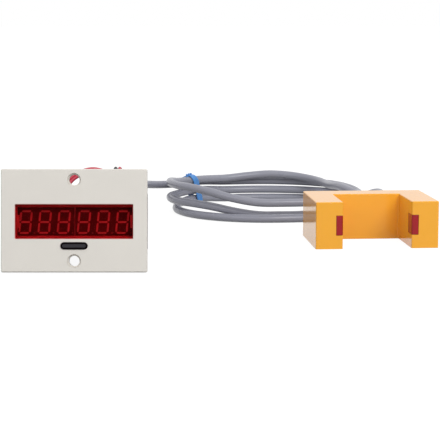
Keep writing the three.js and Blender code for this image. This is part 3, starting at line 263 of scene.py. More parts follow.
FINISHES = {
    "cream": surface(
        "cream_plastic",
        (221, 217, 210),
        0.45,
        mottle=(12, 0.012),
        gloss=(4, 0.4, 0.52),
        grain=(0.35, 0.012),
        wave=(6, 0.03),
        Specular_IOR_Level=0.35,
    ),
    # Painted shade: the mounting holes' steps, a little darker than the panel, for the shade in the
    # recess.
    "step": surface(
        "cream_step_painted_shade",
        (216, 212, 205),
        0.55,
        mottle=(6, 0.02),
        grain=(0.35, 0.012),
        Specular_IOR_Level=0.3,
        Subsurface_Weight=0.6,
        Subsurface_Radius=(1, 0.95, 0.9),
        Subsurface_Scale=1.2 * MM,
    ),
    # Painted shade: the display frame's inner walls are painted grey, darker than the panel, for the
    # shade behind the window.
    "frame": surface(
        "frame_painted_shade",
        (156, 150, 144),
        0.5,
        mottle=(6, 0.03),
        grain=(0.35, 0.012),
        Specular_IOR_Level=0.3,
    ),
    "dark": surface(
        "dark_plastic",
        (52, 52, 55),
        0.55,
        mottle=(10, 0.08),
        gloss=(3, 0.5, 0.65),
        grain=(0.3, 0.03),
    ),
    "black": surface(
        "black_plastic",
        (40, 39, 43),
        0.4,
        mottle=(6, 0.1),
        gloss=(2, 0.35, 0.5),
        grain=(0.4, 0.015),
    ),
    "button": surface(
        "button_plastic",
        (40, 39, 44),
        0.45,
        mottle=(5, 0.06),
        gloss=(1.5, 0.34, 0.46),
        grain=(0.3, 0.01),
        Specular_IOR_Level=0.25,
    ),
    # Painted shade: the button's rim and sides, painted near-black for the shade of the slot round
    # the cap.
    "rim": surface(
        "button_rim_painted_shade",
        (12, 7, 10),
        0.8,
        mottle=(5, 0.06),
        grain=(0.3, 0.01),
        Specular_IOR_Level=0.05,
    ),
    "window": red_window(),
    "face": surface(
        "display_face",
        (56, 49, 49),
        0.6,
        mottle=(3, 0.06),
        grain=(0.3, 0.02),
        Specular_IOR_Level=0.2,
    ),
    "segment": surface(
        "segment_resin",
        (150, 142, 140),
        0.45,
        mottle=(2, 0.05),
        grain=(0.25, 0.02),
        Specular_IOR_Level=0.3,
    ),
    "point": surface(
        "point_resin",
        (98, 88, 87),
        0.5,
        mottle=(2, 0.05),
        grain=(0.25, 0.02),
        Specular_IOR_Level=0.2,
    ),
    "board": surface(
        "circuit_board",
        (34, 96, 58),
        0.32,
        mottle=(2, 0.25),
        grain=(0.8, 0.02),
        Coat_Weight=0.4,
    ),
    "steel": surface(
        "steel",
        (196, 198, 202),
        0.3,
        mottle=(1.5, 0.06),
        gloss=(0.8, 0.22, 0.4),
        grain=(0.2, 0.01),
        Metallic=1.0,
    ),
    "tinned": surface(
        "tinned_metal",
        (214, 212, 205),
        0.26,
        mottle=(1.2, 0.08),
        gloss=(0.6, 0.2, 0.38),
        grain=(0.3, 0.02),
        Metallic=1.0,
    ),
    "core": laminations(),
    "winding": surface(
        "winding_tape",
        (214, 178, 66),
        0.35,
        mottle=(4, 0.08),
        grain=(1.2, 0.05),
    ),
    "sleeve": surface(
        "shrunk_sleeve",
        (36, 56, 108),
        0.3,
        mottle=(3, 0.06),
        grain=(1.5, 0.02),
    ),
    "orange": surface(
        "orange_plastic",
        (250, 176, 48),
        0.12,
        mottle=(16, 0.015),
        gloss=(5, 0.09, 0.16),
        grain=(0.5, 0.006),
        wave=(9, 0.04),
        Specular_IOR_Level=0.36,
    ),
    "lens": surface(
        "red_lens",
        (164, 20, 30),
        0.12,
        mottle=(4, 0.06),
        grain=(2, 0.02),
        IOR=1.49,
        Specular_IOR_Level=0.3,
    ),
    "resin": surface(
        "clear_resin",
        (120, 96, 140),
        0.08,
        mottle=(2, 0.05),
        grain=(2, 0.01),
        Transmission_Weight=0.6,
        IOR=1.5,
    ),
    "tie": surface(
        "tie_band",
        (78, 145, 216),
        0.35,
        mottle=(2, 0.07),
        grain=(0.6, 0.04),
        Subsurface_Weight=0.1,
        Subsurface_Scale=0.6 * MM,
    ),
    "cable": sheath("grey_cable", (144, 145, 157), 0.3, CABLE),
    "red": sheath("red_wire", (198, 60, 80), 0.38, POWER_WIRE),
    "blackwire": sheath("black_wire", (44, 44, 47), 0.38, CORE_WIRE),
    "bluewire": sheath("blue_wire", (44, 88, 176), 0.38, CORE_WIRE),
}


# Helpers for pieces
WELD_REACH = 0.002 * MM
FLAT_ANGLE = math.radians(0.5)
EDGE_ANGLE = math.radians(25)
EDGE_STEPS = 2
FLAT_WEIGHT = 80
TUBE_RESOLUTION = 5
CABLE_RESOLUTION = 6


def add_object(name, data, finish, place=None):
    """A piece that rides on the fixed body. Its place goes into its own points."""
    piece = bpy.data.objects.new(name, data)
    bpy.context.scene.collection.objects.link(piece)
    if place is not None:
        data.transform(place)
    data.materials.append(FINISHES[finish])
    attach(piece, ROOT)
    return piece


def mesh_data(name, mesh):
    """The finished data of a mesh under construction, with its faces turned outwards."""
    bmesh.ops.recalc_face_normals(mesh, faces=mesh.faces)
    data = bpy.data.meshes.new(name)
    mesh.to_mesh(data)
    mesh.free()
    return data


def weld(piece, name):
    """Joins points that all but coincide."""
    made = piece.modifiers.new(name, "WELD")
    made.merge_threshold = WELD_REACH


def soften(piece, width):
    """Rounds a piece's edges, and shades what lies flat as flat."""
    weld(piece, "weld")
    flat = piece.modifiers.new("flat", "DECIMATE")
    flat.decimate_type = "DISSOLVE"
    flat.angle_limit = FLAT_ANGLE
    flat.delimit = {"MATERIAL"}
    edge = piece.modifiers.new("edge", "BEVEL")
    edge.width = width
    edge.segments = EDGE_STEPS
    edge.limit_method = "ANGLE"
    edge.angle_limit = EDGE_ANGLE
    edge.harden_normals = True
    edge.use_clamp_overlap = True
    for face in piece.data.polygons:
        face.use_smooth = True
    weld(piece, "close")
    even = piece.modifiers.new("even", "WEIGHTED_NORMAL")
    even.keep_sharp = True
    even.weight = FLAT_WEIGHT


def catmull(points, step):
    """Points a step apart along the smooth curve through the given points, as the part has it: a
    Catmull-Rom curve whose knots lie apart by the root of their distance."""
    points = [Vector(p) for p in points]
    ahead = points[0] * 2 - points[1]
    after = points[-1] * 2 - points[-2]
    chain = [ahead, *points, after]
    route = []
    for i in range(1, len(chain) - 2):
        p0, p1, p2, p3 = chain[i - 1 : i + 3]
        d0, d1, d2 = (math.sqrt((b - a).length) for a, b in ((p0, p1), (p1, p2), (p2, p3)))
        m1 = ((p1 - p0) / d0 - (p2 - p0) / (d0 + d1) + (p2 - p1) / d1) * d1
        m2 = ((p2 - p1) / d1 - (p3 - p1) / (d1 + d2) + (p3 - p2) / d2) * d1
        count = max(1, round((p2 - p1).length / step))
        for k in range(count):
            t = k / count
            square = -3 * p1 + 3 * p2 - 2 * m1 - m2
            cube = 2 * p1 - 2 * p2 + m1 + m2
            route.append(p1 + m1 * t + square * t * t + cube * t * t * t)
    return route + [points[-1]]


def length_of(route):
    """A route's length."""
    return sum((b - a).length for a, b in zip(route, route[1:]))


def tube(name, route, diameter, finish, resolution=TUBE_RESOLUTION):
    """A round tube along a route, as one open curve with capped ends."""
    data = bpy.data.curves.new(name, "CURVE")
    data.dimensions = "3D"
    data.bevel_depth = diameter / 2
    data.bevel_resolution = resolution
    data.use_fill_caps = True
    line = data.splines.new("POLY")
    line.points.add(len(route) - 1)
    for point, place in zip(line.points, route):
        point.co = (*place, 1)
    line.use_smooth = True
    return add_object(name, data, finish)


def layout(x, y, z):
    """A point of the cords' routes, in millimetres of the part's layout."""
    return LAYOUT + Vector((x, y, z)) * MM


def sensor_point(x, y, z):
    """A point of the sensor's own frame, in metres."""
    return SENSOR @ Vector((x, y, z))


# Cords. Their routes repeat the part's points, as (x, y, z) in millimetres of its layout.
TERMINAL_COUNT = 6
TERMINAL_PITCH = 8 * MM
TERMINAL_HEIGHT = 25.2 * MM
TERMINAL_BASE_DEPTH = 6 * MM
LUG_BARREL_DIAMETER = 3 * MM
LUG_BARREL_LENGTH = 6 * MM
LUG_FORK_LENGTH = 6.5 * MM
LUG_BARREL_Y = COVER_BACK + 2 * TOUCH + TERMINAL_BASE_DEPTH + LUG_BARREL_DIAMETER / 2
LUG_TOP = TERMINAL_HEIGHT + LUG_FORK_LENGTH / 2 + LUG_BARREL_LENGTH
CABLE_STEP = 3 * MM
WIRE_STEP = 1 * MM
BARE_LENGTH = 6 * MM
STRANDS_SHARE = 0.6


def lug_exit(i):
    """Where a wire leaves the lug of terminal i."""
    x = (i - (TERMINAL_COUNT - 1) / 2) * TERMINAL_PITCH
    return COUNTER @ Vector((x, LUG_BARREL_Y, LUG_TOP + TOUCH))


def power_routes():
    """The two power leads' points, from their lugs down to the table."""
    first = [
        (-91, 79, 29),
        (-87.5, 80.6, 32.4),
        (-83.6, 82, 36.1),
        (-79.3, 83, 39.4),
        (-74.5, 83.7, 41.9),
        (-69.2, 84.4, 42.7),
        (-63.4, 86.2, 41.2),
        (-58.6, 90, 38),
        (-55.6, 94.3, 32.2),
        (-54.8, 98.5, 24.5),
        (-57, 103.5, 15.5),
        (-61, 108.3, 8),
        (-66.5, 112.7, 2.8),
        (-73.5, 116, 1.2),
        (-81.5, 117.5, 1.2),
        (-89.5, 116, 1.2),
        (-96, 112, 1.2),
    ]
    second = [
        (-83.5, 79.2, 29.5),
        (-82.6, 80.4, 34),
        (-79.9, 81.5, 37.2),
        (-75, 82.3, 39.9),
        (-69.4, 83, 40.6),
        (-64.2, 85.2, 39),
        (-60.6, 88.8, 35.5),
        (-59, 92.5, 30),
        (-59.3, 96, 22),
        (-61.6, 100, 13.5),
        (-65.5, 104, 6.3),
        (-71, 107.5, 2),
        (-78, 109.5, 1.2),
        (-86, 109.5, 1.2),
        (-93, 106.5, 1.2),
    ]
    return [
        [lug_exit(0), *(layout(*p) for p in first)],
        [lug_exit(1), *(layout(*p) for p in second)],
    ]


# The coil: an oval, wound clockwise from above and counted in quarter turns from its rear. Where
# each quarter starts, a layer share says how many layers up the cable lies, and a stray share how
# many of its own diameters outwards. The climb shares say over which part of a quarter it climbs.
# The strands gather early in the last quarter of a turn, sag in one quarter, and rise at the tie.
# Lengths are in millimetres of the layout.
COIL_CENTRE = (28.4, 228)
COIL_HALF_WIDTH = 60.5
COIL_HALF_DEPTH = 54
COIL_BASE = 2.7
COIL_LAYER = 5.5
COIL_CLIMB_START_SHARES = [0.5, 0.2, 0, 0]
COIL_CLIMB_SPAN_SHARES = [0.5, 0.5, 0.55, 0.5]
COIL_GATHER_SHARE = 0.4
COIL_SAG_SHARE = 0.6
COIL_SAG_QUARTER = 11
COIL_TURNS = 3.17
COIL_START = math.radians(145)
COIL_STEPS_PER_TURN = 24
COIL_LEAD = 6
COIL_LAYER_SHARES = [2, 1.7, 0.25, 1.25, 1, 0.55, 0, 0, 0, 1.75, 1.8, 3.1, 2.95, 2.7]
COIL_STRAY_SHARES = [0.6, 0.1, -1.15, 0, 0, 1, 0, -0.8, 0, 2.9, 0.2, 0, -0.5, -0.5]
TIE_ANGLE = math.radians(138)
TIE_LIFT = 1.5
TIE_LIFT_REACH = math.radians(16)


def smoothstep(value, low, high):
    """0 below low, 1 above high, and a smooth step between them."""
    t = min(1, max(0, (value - low) / (high - low)))
    return t * t * (3 - 2 * t)


def coil_point(angle):
    """A point of the coil. The angle falls from COIL_START, by a full circle for each turn."""
    quarter = (math.pi / 2 - angle) / (math.pi / 2)
    before = max(0, math.floor(quarter))
    t = max(0, quarter - before)
    start = COIL_CLIMB_START_SHARES[before % 4]
    climb = smoothstep(t, start, start + COIL_CLIMB_SPAN_SHARES[before % 4])
    ease = smoothstep(t, 0, COIL_GATHER_SHARE if before % 4 == 3 else 1)
    layers = COIL_LAYER_SHARES
    strays = COIL_STRAY_SHARES
    layer = layers[before] + (layers[before + 1] - layers[before]) * climb
    if before == COIL_SAG_QUARTER:
        layer -= COIL_SAG_SHARE * math.sin(math.pi * t)
    stray = (strays[before] + (strays[before + 1] - strays[before]) * ease) * CABLE / MM
    from_tie = (angle - TIE_ANGLE + math.pi) % (2 * math.pi) - math.pi
    lift = TIE_LIFT * math.exp(-((from_tie / TIE_LIFT_REACH) ** 2))
    return layout(
        COIL_CENTRE[0] + (COIL_HALF_WIDTH + stray) * math.cos(angle),
        COIL_CENTRE[1] + (COIL_HALF_DEPTH + stray) * math.sin(angle),
        COIL_BASE + COIL_LAYER * layer + lift,
    )


def straight_on(start, end, length):
    """The point that lies a length in millimetres past the end of a straight line."""
    return end + (end - start).normalized() * length * MM


def cable_route():
    """The cable's points from the counter's rear, through the coil, to the sensor. Two of the
    part's guide points, where the coil ends, are left out for a smoother line."""
    steps = round(COIL_TURNS * COIL_STEPS_PER_TURN)
    turn = 2 * math.pi / COIL_STEPS_PER_TURN
    coil = [coil_point(COIL_START - turn * i) for i in range(steps + 1)]
    lead_in = straight_on(coil[1], coil[0], COIL_LEAD)
    before = [
        (-50.1, 101.2, 4.7),
        (-50.2, 110, 3.4),
        (-50.6, 122, 2.8),
        (-51.2, 138, 2.8),
        (-52, 155, 2.9),
        (-52.8, 172, 4.4),
        (-53.4, 188, 8.2),
        (-53.8, 201, 12.2),
        (-53.4, 213, 15.4),
        (-51.6, 224, 17),
        (-47.6, 234.4, 16.8),
    ]
    after = [
        (48.6, 276.6, 18.2),
        (55, 273, 17.5),
        (61, 267, 16.9),
        (65.6, 258.5, 16.5),
        (68.4, 247.5, 16.4),
        (70.2, 234.5, 16.9),
        (71.6, 220.5, 17.9),
        (73.2, 206.5, 19.3),
        (75.6, 193.5, 19.9),
        (80, 181.5, 18.9),
        (85.4, 170.5, 16.4),
        (89.4, 160.8, 13.9),
    ]
    exit_x = SENSOR_WIDTH / 2 + CABLE_EXIT_OFFSET
    sleeve_end = SENSOR_DEPTH + SLEEVE_LENGTH - TOUCH
    from_counter = [
        *(layout(*p) for p in before),
        straight_on(coil[0], lead_in, 3 * COIL_LEAD) + Vector((0, 0, 2 * TOUCH)),
        straight_on(coil[0], lead_in, COIL_LEAD),
    ]
    to_sensor = [
        *(layout(*p) for p in after),
        sensor_point(exit_x, sleeve_end + 2 * CABLE, CABLE_EXIT_HEIGHT),
        sensor_point(exit_x, sleeve_end + CABLE, CABLE_EXIT_HEIGHT),
        sensor_point(exit_x, sleeve_end + TOUCH, CABLE_EXIT_HEIGHT),
    ]
    return from_counter + [lead_in] + coil + to_sensor


# The cable's three cores, each with its terminal, finish, slot and route
CORE_ROUTES = {
    "sensor_core_blue": (
        3,
        "bluewire",
        "blue_wire",
        [
            (-67.4, 79, 29.5),
            (-65.5, 80, 33),
            (-62, 81.6, 34.6),
            (-58.6, 83.8, 33.2),
            (-55.6, 86.4, 29),
            (-53.2, 88.6, 22.5),
            (-51.3, 90.2, 14.5),
            (-50.4, 93.6, 7.6),
            (-50.1, 97.5, 3.9),
            (-50.1, 100.9, 3.6),
        ],
    ),
    "sensor_core_black": (
        4,
        "blackwire",
        "black_wire",
        [
            (-59.7, 79, 31),
            (-58.8, 80.6, 37.5),
            (-57.6, 82.8, 42.4),
            (-57, 86, 42.9),
            (-55.9, 88.8, 38.5),
            (-54.4, 90.8, 31.5),
            (-53, 91.8, 23.5),
            (-51.9, 92.6, 15.5),
            (-51.5, 94.8, 9.2),
            (-51.2, 98, 5.8),
            (-51.2, 100.9, 5.3),
        ],
    ),
    "sensor_core_red": (
        5,
        "red",
        "red_wire",
        [
            (-52.2, 79, 31),
            (-53.5, 80.6, 37.5),
            (-55, 82.8, 42.4),
            (-54.8, 86, 42.9),
            (-53.2, 88.8, 38.5),
            (-51.8, 90.8, 31.5),
            (-50.4, 91.8, 23.5),
            (-49.2, 92.6, 15.5),
            (-49, 94.8, 9.2),
            (-49, 98, 5.8),
            (-49, 100.9, 5.3),
        ],
    ),
}


# The tie: a flat band round the strands, with two wires under its coating along its edges. Its
# two ends are twisted together beside it and lie along the cable.
TIE_SHIFT = math.radians(2.5)
TIE_SLANT_SHARE = 0.5
TIE_WIDTH = 5 * MM
TIE_THICKNESS = 0.9 * MM
TIE_SLACK = 0.35 * MM
TIE_STEP = 0.5 * MM
STRAND_POINTS = 48
BAND_POINTS = 16
BAND_SIDE_POWER = 0.45
BAND_FACE_POWER = 0.8
BAND_WEB_SHARE = 0.55
BAND_WIRE_SHARE = 0.8
BAND_WIRE_POWER = 4
TAIL_LENGTH = 4.4 * MM
TAIL_WIDTH = 1.7 * MM
TAIL_THICKNESS = 0.8 * MM
TAIL_OFFSET = 0.42 * MM
TAIL_ALONG_SHARE = 0.2
TAIL_STEPS = 40
TAIL_HALF_TURNS = 2.6
TAIL_OPEN_START = 0.9
TAIL_OPENING = 8
TAIL_RISE = 0.3 * MM
TAIL_DROP = 0.6 * MM
TAIL_PINCH_SHARE = 0.25


def hull_loop(centres, radius):
    """The closed line round equal circles, counted from their outermost points."""
    points = [
        Vector((c.x + radius * math.cos(a), c.y + radius * math.sin(a)))
        for c in centres
        for a in (2 * math.pi * k / STRAND_POINTS for k in range(STRAND_POINTS))
    ]
    points.sort(key=lambda p: (p.x, p.y))

    def side(row):
        chain = []
        for p in row:
            while len(chain) > 1 and (chain[-1] - chain[-2]).cross(p - chain[-2]) <= 0:
                chain.pop()
            chain.append(p)
        return chain[:-1]

    corners = side(points) + side(points[::-1])
    loop = []
    for a, b in zip(corners, corners[1:] + corners[:1]):
        count = max(1, round((b - a).length / TIE_STEP))
        loop += [a.lerp(b, k / count) for k in range(count)]
    return loop


def band_section(width, thickness):
    """The band's cross-section: thin between the two wires. Powers below 1 square the oval."""
    ring = []
    for k in range(BAND_POINTS):
        angle = 2 * math.pi * k / BAND_POINTS
        across = math.copysign(abs(math.cos(angle)) ** BAND_SIDE_POWER, math.cos(angle))
        out = math.copysign(abs(math.sin(angle)) ** BAND_FACE_POWER, math.sin(angle))
        near_wire = min(1, abs(across) / BAND_WIRE_SHARE) ** BAND_WIRE_POWER
        ridge = BAND_WEB_SHARE + (1 - BAND_WEB_SHARE) * near_wire
        ring.append(Vector((across * width / 2, out * ridge * thickness / 2)))
    return ring


def join_rings(mesh, rings, following):
    """Faces between each ring of points and the one that follows it."""
    for a, b in zip(rings, following):
        for k in range(BAND_POINTS):
            j = (k + 1) % BAND_POINTS
            mesh.faces.new((a[k], a[j], b[j], b[k]))


def add_band(mesh, loop, middle):
    """The band itself, which slants along the cable with its height over the middle."""
    section = band_section(TIE_WIDTH, TIE_THICKNESS)
    rings = []
    for i, spot in enumerate(loop):
        on = (loop[(i + 1) % len(loop)] - loop[i - 1]).normalized()
        out = Vector((on.y, -on.x))
        ring = []
        for across, rise in section:
            push = out * rise
            along_cable = across + TIE_SLANT_SHARE * (spot.y - middle)
            ring.append(mesh.verts.new((spot.x + push.x, along_cable, spot.y + push.y)))
        rings.append(ring)
    join_rings(mesh, rings, rings[1:] + rings[:1])


def add_tail(mesh, start, side):
    """One of the two twisted ends, of which side is 0 or 1. Half-way it is narrowest, and past
    TAIL_OPEN_START of its length it opens away from the other."""
    section = band_section(TAIL_WIDTH, TAIL_THICKNESS)
    rings = []
    for step in range(TAIL_STEPS + 1):
        t = step / TAIL_STEPS
        arch = math.sin(math.pi * t)
        twist = math.pi * (side + TAIL_HALF_TURNS * t)
        offset = TAIL_OFFSET * (1 + max(0, t - TAIL_OPEN_START) * TAIL_OPENING)
        rise = offset * math.sin(twist) + TAIL_RISE * arch - TAIL_DROP * t
        core = start + Vector((offset * math.cos(twist), t * TAIL_LENGTH, rise))
        turn = Matrix.Rotation(-(twist + math.pi / 2), 2)
        ring = []
        for across, out in section:
            flat = Vector((across * (1 - TAIL_PINCH_SHARE * arch), out))
            flat.rotate(turn)
            ring.append(mesh.verts.new(core + Vector((flat.x, 0, flat.y))))
        rings.append(ring)
    join_rings(mesh, rings, rings[1:])
    mesh.faces.new(rings[0])
    mesh.faces.new(rings[-1])


def make_tie():
    at = TIE_ANGLE + TIE_SHIFT
    centre = coil_point(at)
    along = math.atan2(COIL_HALF_DEPTH * math.cos(at), -COIL_HALF_WIDTH * math.sin(at))
    turn = Matrix.Rotation(along - math.pi / 2, 4, "Z")
    places = [
        turn.inverted() @ (coil_point(at - 2 * math.pi * i) - centre)
        for i in range(math.ceil(COIL_TURNS))
    ]
    centres = [Vector((place.x, place.z)) for place in places]
    middle = sum(c.y for c in centres) / len(centres)
    top = max(centres, key=lambda c: c.y)
    mesh = bmesh.new()
    add_band(mesh, hull_loop(centres, CABLE / 2 + TIE_SLACK + TIE_THICKNESS / 2), middle)
    start = Vector(
        (
            top.x,
            TIE_SLANT_SHARE * (top.y - middle) + TAIL_ALONG_SHARE * TIE_WIDTH,
            top.y + CABLE / 2 + TIE_SLACK + TIE_THICKNESS,
        )
    )
    for side in (0, 1):
        add_tail(mesh, start, side)
    data = mesh_data("cable_tie_band", mesh)
    for face in data.polygons:
        face.use_smooth = True
    place = Matrix.Translation(centre) @ turn
    tie = add_object("cable_tie_band", data, "tie", place)
    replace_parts(tie, "cable_tie")
    return tie


def make_cords():
    tie = make_tie()
    route = catmull(cable_route(), CABLE_STEP)
    cable = tube("sensor_cable", route, CABLE, "cable", CABLE_RESOLUTION)
    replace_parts(cable, "cable_from_counter", "cable_coil", "cable_to_sensor")
    for i, points in enumerate(power_routes()):
        route = catmull(points, WIRE_STEP)
        cut = next(k for k in range(len(route)) if length_of(route[k:]) <= BARE_LENGTH)
        name = f"power_lead_{i + 1}"
        covered, bare = route[: cut + 1], route[cut - 1 :]
        lead = tube(name + "_sheath", covered, POWER_WIRE, "red")
        end = tube(name + "_end", bare, STRANDS_SHARE * POWER_WIRE, "tinned")
        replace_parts(lead, name)
    for name, (terminal, finish, slot, points) in CORE_ROUTES.items():
        route = catmull([lug_exit(terminal), *(layout(*p) for p in points)], WIRE_STEP)
        core = tube(name + "_wire", route, CORE_WIRE, finish)
        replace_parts(core, name)


make_cords()


# The display: two modules, each with three digits of seven bars and a point. The bars stand out of
# the module's face by DIGIT_RISE and reach DIGIT_ROOT into it.
WINDOW_CENTRE = 25.1 * MM
MODULE_DIGITS = 3
MODULE_GAP = 0.4 * MM
MODULE_WIDTH = 28.4 * MM
MODULE_HEIGHT = 14.6 * MM
MODULE_DEPTH = 7.6 * MM
MODULE_EDGE = 0.14 * MM
MODULE_EDGE_STEPS = 3
DIGIT_PITCH = 9.5 * MM
DIGIT_OFFSET = 5 * MM
DIGIT_SHIFT = -0.55 * MM
DIGIT_DROP = 0.3 * MM
DIGIT_HEIGHT = 11.7 * MM
DIGIT_WIDTH = 6.2 * MM
DIGIT_RISE = 0.25 * MM
DIGIT_ROOT = 0.05 * MM
DIGIT_EDGE = 0.06 * MM
DIGIT_EDGE_STEPS = 2
STROKE = 0.95 * MM
SEGMENT_GAP = 0.28 * MM
SLANT_SHARE = 0.1
POINT_OFFSET = 4.4 * MM
POINT_RADIUS = 0.45 * MM
POINT_SIDES = 20
MODULE_FRONT = TOUCH + DIGIT_RISE


def bar_outline(x, z, length, upright):
    """A bar with pointed ends, round its middle."""
    half = STROKE / 2
    run = length / 2 - SEGMENT_GAP
    corners = [(-run, 0), (half - run, -half), (run - half, -half)]
    corners += [(run, 0), (run - half, half), (half - run, half)]
    return [(x - b, z + a) if upright else (x + a, z + b) for a, b in corners]


def point_outline(x, z):
    """A digit's round point."""
    turns = [2 * math.pi * k / POINT_SIDES for k in range(POINT_SIDES)]
    return [(x + POINT_RADIUS * math.cos(a), z + POINT_RADIUS * math.sin(a)) for a in turns]


def add_prism(mesh, outline, y0, y1, material=0):
    """A block from y0 to y1 with that outline, seen from the front."""
    near = [mesh.verts.new((x, y0, z)) for x, z in outline]
    far = [mesh.verts.new((x, y1, z)) for x, z in outline]
    faces = [mesh.faces.new(near), mesh.faces.new(far[::-1])]
    for i in range(len(outline)):
        j = (i + 1) % len(outline)
        faces.append(mesh.faces.new((near[i], far[i], far[j], near[j])))
    for face in faces:
        face.material_index = material


def add_digit(mesh, x):
    """Seven slanted bars of the first material and a point of the second."""
    wide = DIGIT_WIDTH - STROKE
    tall = DIGIT_HEIGHT - STROKE
    bars = [bar_outline(0, level * tall / 2, wide, False) for level in (-1, 0, 1)]
    bars += [
        bar_outline(side * wide / 2, level * tall / 4, tall / 2, True)
        for side in (-1, 1)
        for level in (-1, 1)
    ]
    slanted = [[(a + b * SLANT_SHARE, b) for a, b in bar] for bar in bars]
    shapes = [(bar, 0) for bar in slanted] + [(point_outline(POINT_OFFSET, -tall / 2), 1)]
    for outline, material in shapes:
        places = [(x + a, WINDOW_CENTRE - DIGIT_DROP + b) for a, b in outline]
        add_prism(mesh, places, MODULE_FRONT - DIGIT_RISE, MODULE_FRONT + DIGIT_ROOT, material)


def round_edges(piece, width, steps):
    """Rounds all edges, and gives the modifier for more settings."""
    edge = piece.modifiers.new("edge", "BEVEL")
    edge.width = width
    edge.segments = steps
    return edge


def make_digits(name, side):
    """A module's bars and points. Side is -1 for the left module and 1 for the right."""
    mesh = bmesh.new()
    for i in range(MODULE_DIGITS):
        add_digit(mesh, DIGIT_SHIFT + side * (DIGIT_OFFSET + i * DIGIT_PITCH))
    data = mesh_data(name, mesh)
    digits = add_object(name, data, "segment", COUNTER)
    data.materials.append(FINISHES["point"])
    round_edges(digits, DIGIT_EDGE, DIGIT_EDGE_STEPS)


def make_module(name, side):
    """A module's block, whose rounded edges are as pale as the bars."""
    mesh = bmesh.new()
    x0, x1 = sorted((side * MODULE_GAP / 2, side * (MODULE_GAP / 2 + MODULE_WIDTH)))
    z0 = WINDOW_CENTRE - MODULE_HEIGHT / 2
    z1 = WINDOW_CENTRE + MODULE_HEIGHT / 2
    outline = [(x0, z0), (x1, z0), (x1, z1), (x0, z1)]
    add_prism(mesh, outline, MODULE_FRONT, TOUCH + MODULE_DEPTH)
    data = mesh_data(name, mesh)
    module = add_object(name, data, "face", COUNTER)
    data.materials.append(FINISHES["segment"])
    edge = round_edges(module, MODULE_EDGE, MODULE_EDGE_STEPS)
    edge.material = 1
    return module


for side, node_name in ((-1, "led_module_left"), (1, "led_module_right")):
    make_digits(node_name + "_segments", side)
    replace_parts(make_module(node_name + "_body", side), node_name)


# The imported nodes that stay, with their finish and the width of their rounded edges in millimetres
KEPT = {
    "front_bezel": ("cream", 0.12),
    "display_filter": ("window", 0.15),
    "display_board": ("board", 0.1),
    "reset_button": ("button", 0.25),
    "reset_switch": ("black", 0.1),
    "switch_plunger": ("black", 0.1),
    "housing_shell": ("dark", 0.25),
    "rear_cover": ("dark", 0.3),
    "main_board": ("board", 0.1),
    "board_link": ("black", 0.1),
    "transformer_core": ("core", 0.15),
    "transformer_bobbin": ("winding", 0.2),
    "capacitor_large": ("sleeve", 0.2),
    "capacitor_small": ("sleeve", 0.2),
    "counter_chip": ("black", 0.1),
    "terminal_block": ("black", 0.25),
    "sensor_housing": ("orange", 0.12),
    "sensor_bottom": ("orange", 0.2),
    "sensor_lens_left": ("lens", 0.2),
    "sensor_lens_right": ("lens", 0.2),
    "sensor_emitter": ("resin", 0.1),
    "sensor_receiver": ("resin", 0.1),
    "emitter_board": ("board", 0.1),
    "receiver_board": ("board", 0.1),
    "sensor_board": ("board", 0.1),
    "cable_sleeve": ("black", 0.15),
}
for group, numbers, finish, width in (
    ("cover_screw_", (1, 2, 3, 4), "steel", 0.12),
    ("terminal_screw_", (1, 2, 3, 4, 5, 6), "steel", 0.12),
    ("sensor_screw_", (1, 2, 3, 4), "steel", 0.12),
    ("wire_lug_", (1, 2, 4, 5, 6), "tinned", 0.1),
):
    for number in numbers:
        KEPT[group + str(number)] = (finish, width)

# Where the panel and the button are painted darker, as painted shade in the holes' steps, the
# display frame and the button's slot, in the counter's own frame
BUTTON_CENTRE = 13.1 * MM
BUTTON_FACE_HALF = 5.8 * MM
BUTTON_FACE_RADIUS = 0.85 * MM
HOLE_PITCH = 40 * MM
HOLE_MIDDLE = 25.6 * MM
HOLE_STEP_RADIUS = 3.4 * MM
WINDOW_HALF_WIDTH = 29.2 * MM
WINDOW_HALF_HEIGHT = 8.6 * MM
FILTER_RECESS = 0.25 * MM
FILTER_THICKNESS = 1.5 * MM
FILTER_BACK = FILTER_RECESS + FILTER_THICKNESS - PANEL_DEPTH
OUTLINE_MARGIN = 0.05 * MM
FACE_MARGIN = 0.1 * MM


def face_places(node):
    """Each face of a node, with its middle in the counter's own frame."""
    place = COUNTER.inverted() @ node.matrix_world
    return [(face, place @ face.center) for face in node.data.polygons]


def darken_rim(node):
    """The button's rim is painted near-black, darker than its raised face, as painted shade of the
    slot round the cap.
    """
    node.data.materials.append(FINISHES["rim"])
    for face, spot in face_places(node):
        past_end = max(0, abs(spot.x) - BUTTON_FACE_HALF + BUTTON_FACE_RADIUS)
        from_middle = math.hypot(past_end, spot.z - BUTTON_CENTRE)
        # Painted shade on all of the button outside its raised face.
        if from_middle > BUTTON_FACE_RADIUS + OUTLINE_MARGIN:
            face.material_index = 1


def darken_recesses(node):
    """The mounting holes' steps and the display frame's inner walls are painted darker than the
    panel's face, as painted shade in these recesses.
    """
    node.data.materials.append(FINISHES["step"])
    node.data.materials.append(FINISHES["frame"])
    for face, spot in face_places(node):
        from_hole = math.hypot(spot.x, abs(spot.z - HOLE_MIDDLE) - HOLE_PITCH / 2)
        behind_face = spot.y > FACE_MARGIN - PANEL_DEPTH
        across = abs(spot.x) < WINDOW_HALF_WIDTH
        in_window = across and abs(spot.z - WINDOW_CENTRE) < WINDOW_HALF_HEIGHT
        # Painted shade in the mounting holes' steps.
        if from_hole < HOLE_STEP_RADIUS + OUTLINE_MARGIN and behind_face:
            face.material_index = 1
        # Painted shade on the display frame's inner walls behind the window.
        if in_window and spot.y > FILTER_BACK:
            face.material_index = 2


